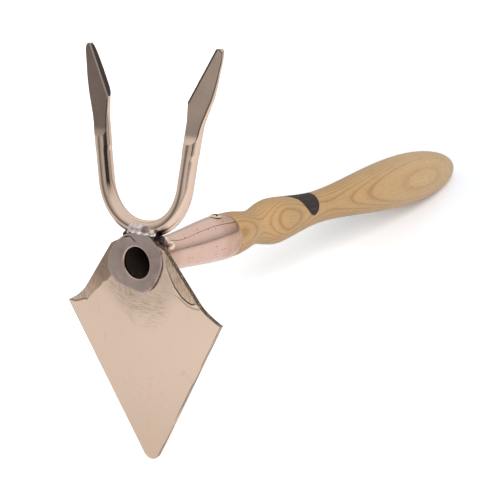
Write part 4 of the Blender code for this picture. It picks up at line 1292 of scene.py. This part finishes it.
CAMERA_PLACE = (468.39 * MM, -565.57 * MM, 175.40 * MM)
CAMERA_AHEAD = (-0.55681, 0.79961, -0.22490)
CAMERA_RIGHT = (0.82205, 0.56931, -0.01108)
CAMERA_FOCAL = 2.8                  # focal length over the image's width
SENSOR_WIDTH = 36


def stage_floor():
    """Pale floor that keeps the tool's shadow and shows white elsewhere."""
    shape = bmesh.new()
    bmesh.ops.create_grid(shape, x_segments=1, y_segments=1, size=FLOOR_SIZE)
    made = new_object("floor", mesh_of("floor", shape))
    made.location.z = -FLOOR_DROP
    finish = bpy.data.materials.new("floor")
    finish.use_nodes = True
    nodes = Nodes(finish.node_tree, lambda nodes: nodes.add("NewGeometry"))
    seen, mirrored = (nodes.add("LightPath", out=f"Is {kind} Ray") for kind in ("Camera", "Glossy"))
    falloff = nodes.along((0.8, -0.6, 0.0)).span(0.3, 0.9, 1.0, 0.72)
    pale = nodes.mix(nodes.noise(30, 3), (0.80, 0.80, 0.80), (0.82, 0.82, 0.82))
    nodes.base(nodes.near((0, 160, 0), 90, 210), FLOOR_FAR, FLOOR_NEAR)
    # Painted shadow by the bulb and by the blade's tip.
    nodes.paint(nodes.near((15, 150, 0), 20, 90), FLOOR_BULB_SHADOW)
    nodes.paint(nodes.near((35, -150, 0), 10, 60), FLOOR_TIP_SHADOW)
    faded = nodes.mix(1.0, pale, falloff, "MULTIPLY")
    shadowed = nodes.add("BsdfDiffuse", nodes.mix(seen, faded, nodes.colour))
    glow = nodes.add("Emission", falloff, seen.span(0, 1, FLOOR_GLOW, 0))
    both = nodes.add("AddShader", shadowed, glow)
    plain = nodes.add("BsdfDiffuse", pale)
    nodes.add("OutputMaterial", nodes.add("MixShader", nodes.math("MAXIMUM", seen, mirrored), plain, both))
    made.data.materials.append(finish)


def studio_world():
    """Even light, and for shiny surfaces a studio bright behind and above and dark behind the camera."""
    world = bpy.data.worlds.new("studio")
    bpy.context.scene.world = world
    world.use_nodes = True
    nodes = Nodes(world.node_tree, lambda nodes: nodes.add("TexCoord"))
    x, y, z = nodes.x, nodes.y, nodes.z
    ahead = nodes.along(CAMERA_WAY) / nodes.length(x, y)
    tilted = z + (x - STUDIO_PIVOT) * STUDIO_TILT
    nodes.colour = nodes.ramp(z, *STUDIO_FRONT)
    nodes.paint(ahead.span(0.1, 0.5), nodes.ramp(tilted, *STUDIO_AROUND))
    nodes.paint(ahead.span(0.82, 0.92), nodes.ramp(tilted, *STUDIO_VIEWER))
    nodes.paint(y.span(-0.25, 0.35), nodes.ramp(z, *STUDIO_BACK))
    nodes.paint(x.span(-0.6, -0.95), (1.0, 1.0, 1.0), 0.8)
    even = nodes.add("Background", nodes.ramp(z, (0.0, 0.7), (1.0, 1.0)), WORLD_LIGHT)
    shiny = nodes.add("Background", nodes.colour, 1.0)
    white = nodes.add("Background", (1, 1, 1, 1), 1.0)
    lit = nodes.add("MixShader", nodes.add("LightPath", out="Is Glossy Ray"), even, shiny)
    nodes.add("OutputWorld", nodes.add("MixShader", nodes.add("LightPath", out="Is Camera Ray"), lit, white))


def key_light():
    """A square soft light that faces the tool's middle."""
    data = bpy.data.lights.new("key", "AREA")
    data.size = KEY_SIZE
    data.energy = KEY_POWER
    made = new_object("key", data)
    made.location = KEY_PLACE
    made.rotation_euler = (Vector(KEY_TARGET) - Vector(KEY_PLACE)).to_track_quat("-Z", "Y").to_euler()
    made.visible_glossy = False


def photo_camera():
    """The camera at the photograph's viewpoint, solved in the tool's frame."""
    data = bpy.data.cameras.new("camera")
    data.sensor_width = SENSOR_WIDTH
    data.lens = CAMERA_FOCAL * SENSOR_WIDTH
    made = new_object("camera", data)
    ahead = TOOL.to_3x3() @ Vector(CAMERA_AHEAD).normalized()
    right = TOOL.to_3x3() @ Vector(CAMERA_RIGHT).normalized()
    turn = Matrix((right, right.cross(ahead), -ahead)).transposed()
    made.matrix_world = Matrix.Translation(TOOL @ Vector(CAMERA_PLACE)) @ turn.to_4x4()
    bpy.context.scene.camera = made


def main():
    """Dress the part and light it."""
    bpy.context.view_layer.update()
    looks = {name: principled(name, build, plain) for name, build, plain in LOOKS}
    recess_shade, weld = looks["crack_dark"], looks["weld_metal"]
    blade = blade_mesh(looks["blade_bronze"], looks["sawn_bronze"])
    fork = fork_mesh(looks["bar_bronze"], looks["leaf_bronze"], looks["leaf_wall"])
    collar = collar_mesh(looks["ground_bronze"], recess_shade)
    piece("turned_handle", handle_mesh(), "handle", looks["pale_wood"])
    piece("rolled_socket", socket_mesh(), "socket", looks["polished_copper"])
    piece("cross_screw", screw_mesh(looks["screw_brass"], recess_shade), "socket_screw")
    piece("pointed_blade", blade, "hoe_blade", sharp=40)
    piece("ground_collar", collar, "mouth_collar", sharp=35)
    piece("bent_fork", fork, "fork", sharp=24)
    piece("weld_nugget", front_weld_mesh(), "fork_weld_front", weld, 60)
    piece("weld_saddle", back_weld_mesh(), "fork_weld_back", weld, 60)
    piece("weld_fillet", blade_weld_mesh(), "blade_weld", weld, 60)

    stage_floor()
    studio_world()
    key_light()
    photo_camera()
    bpy.context.scene.view_settings.view_transform = "Standard"


main()
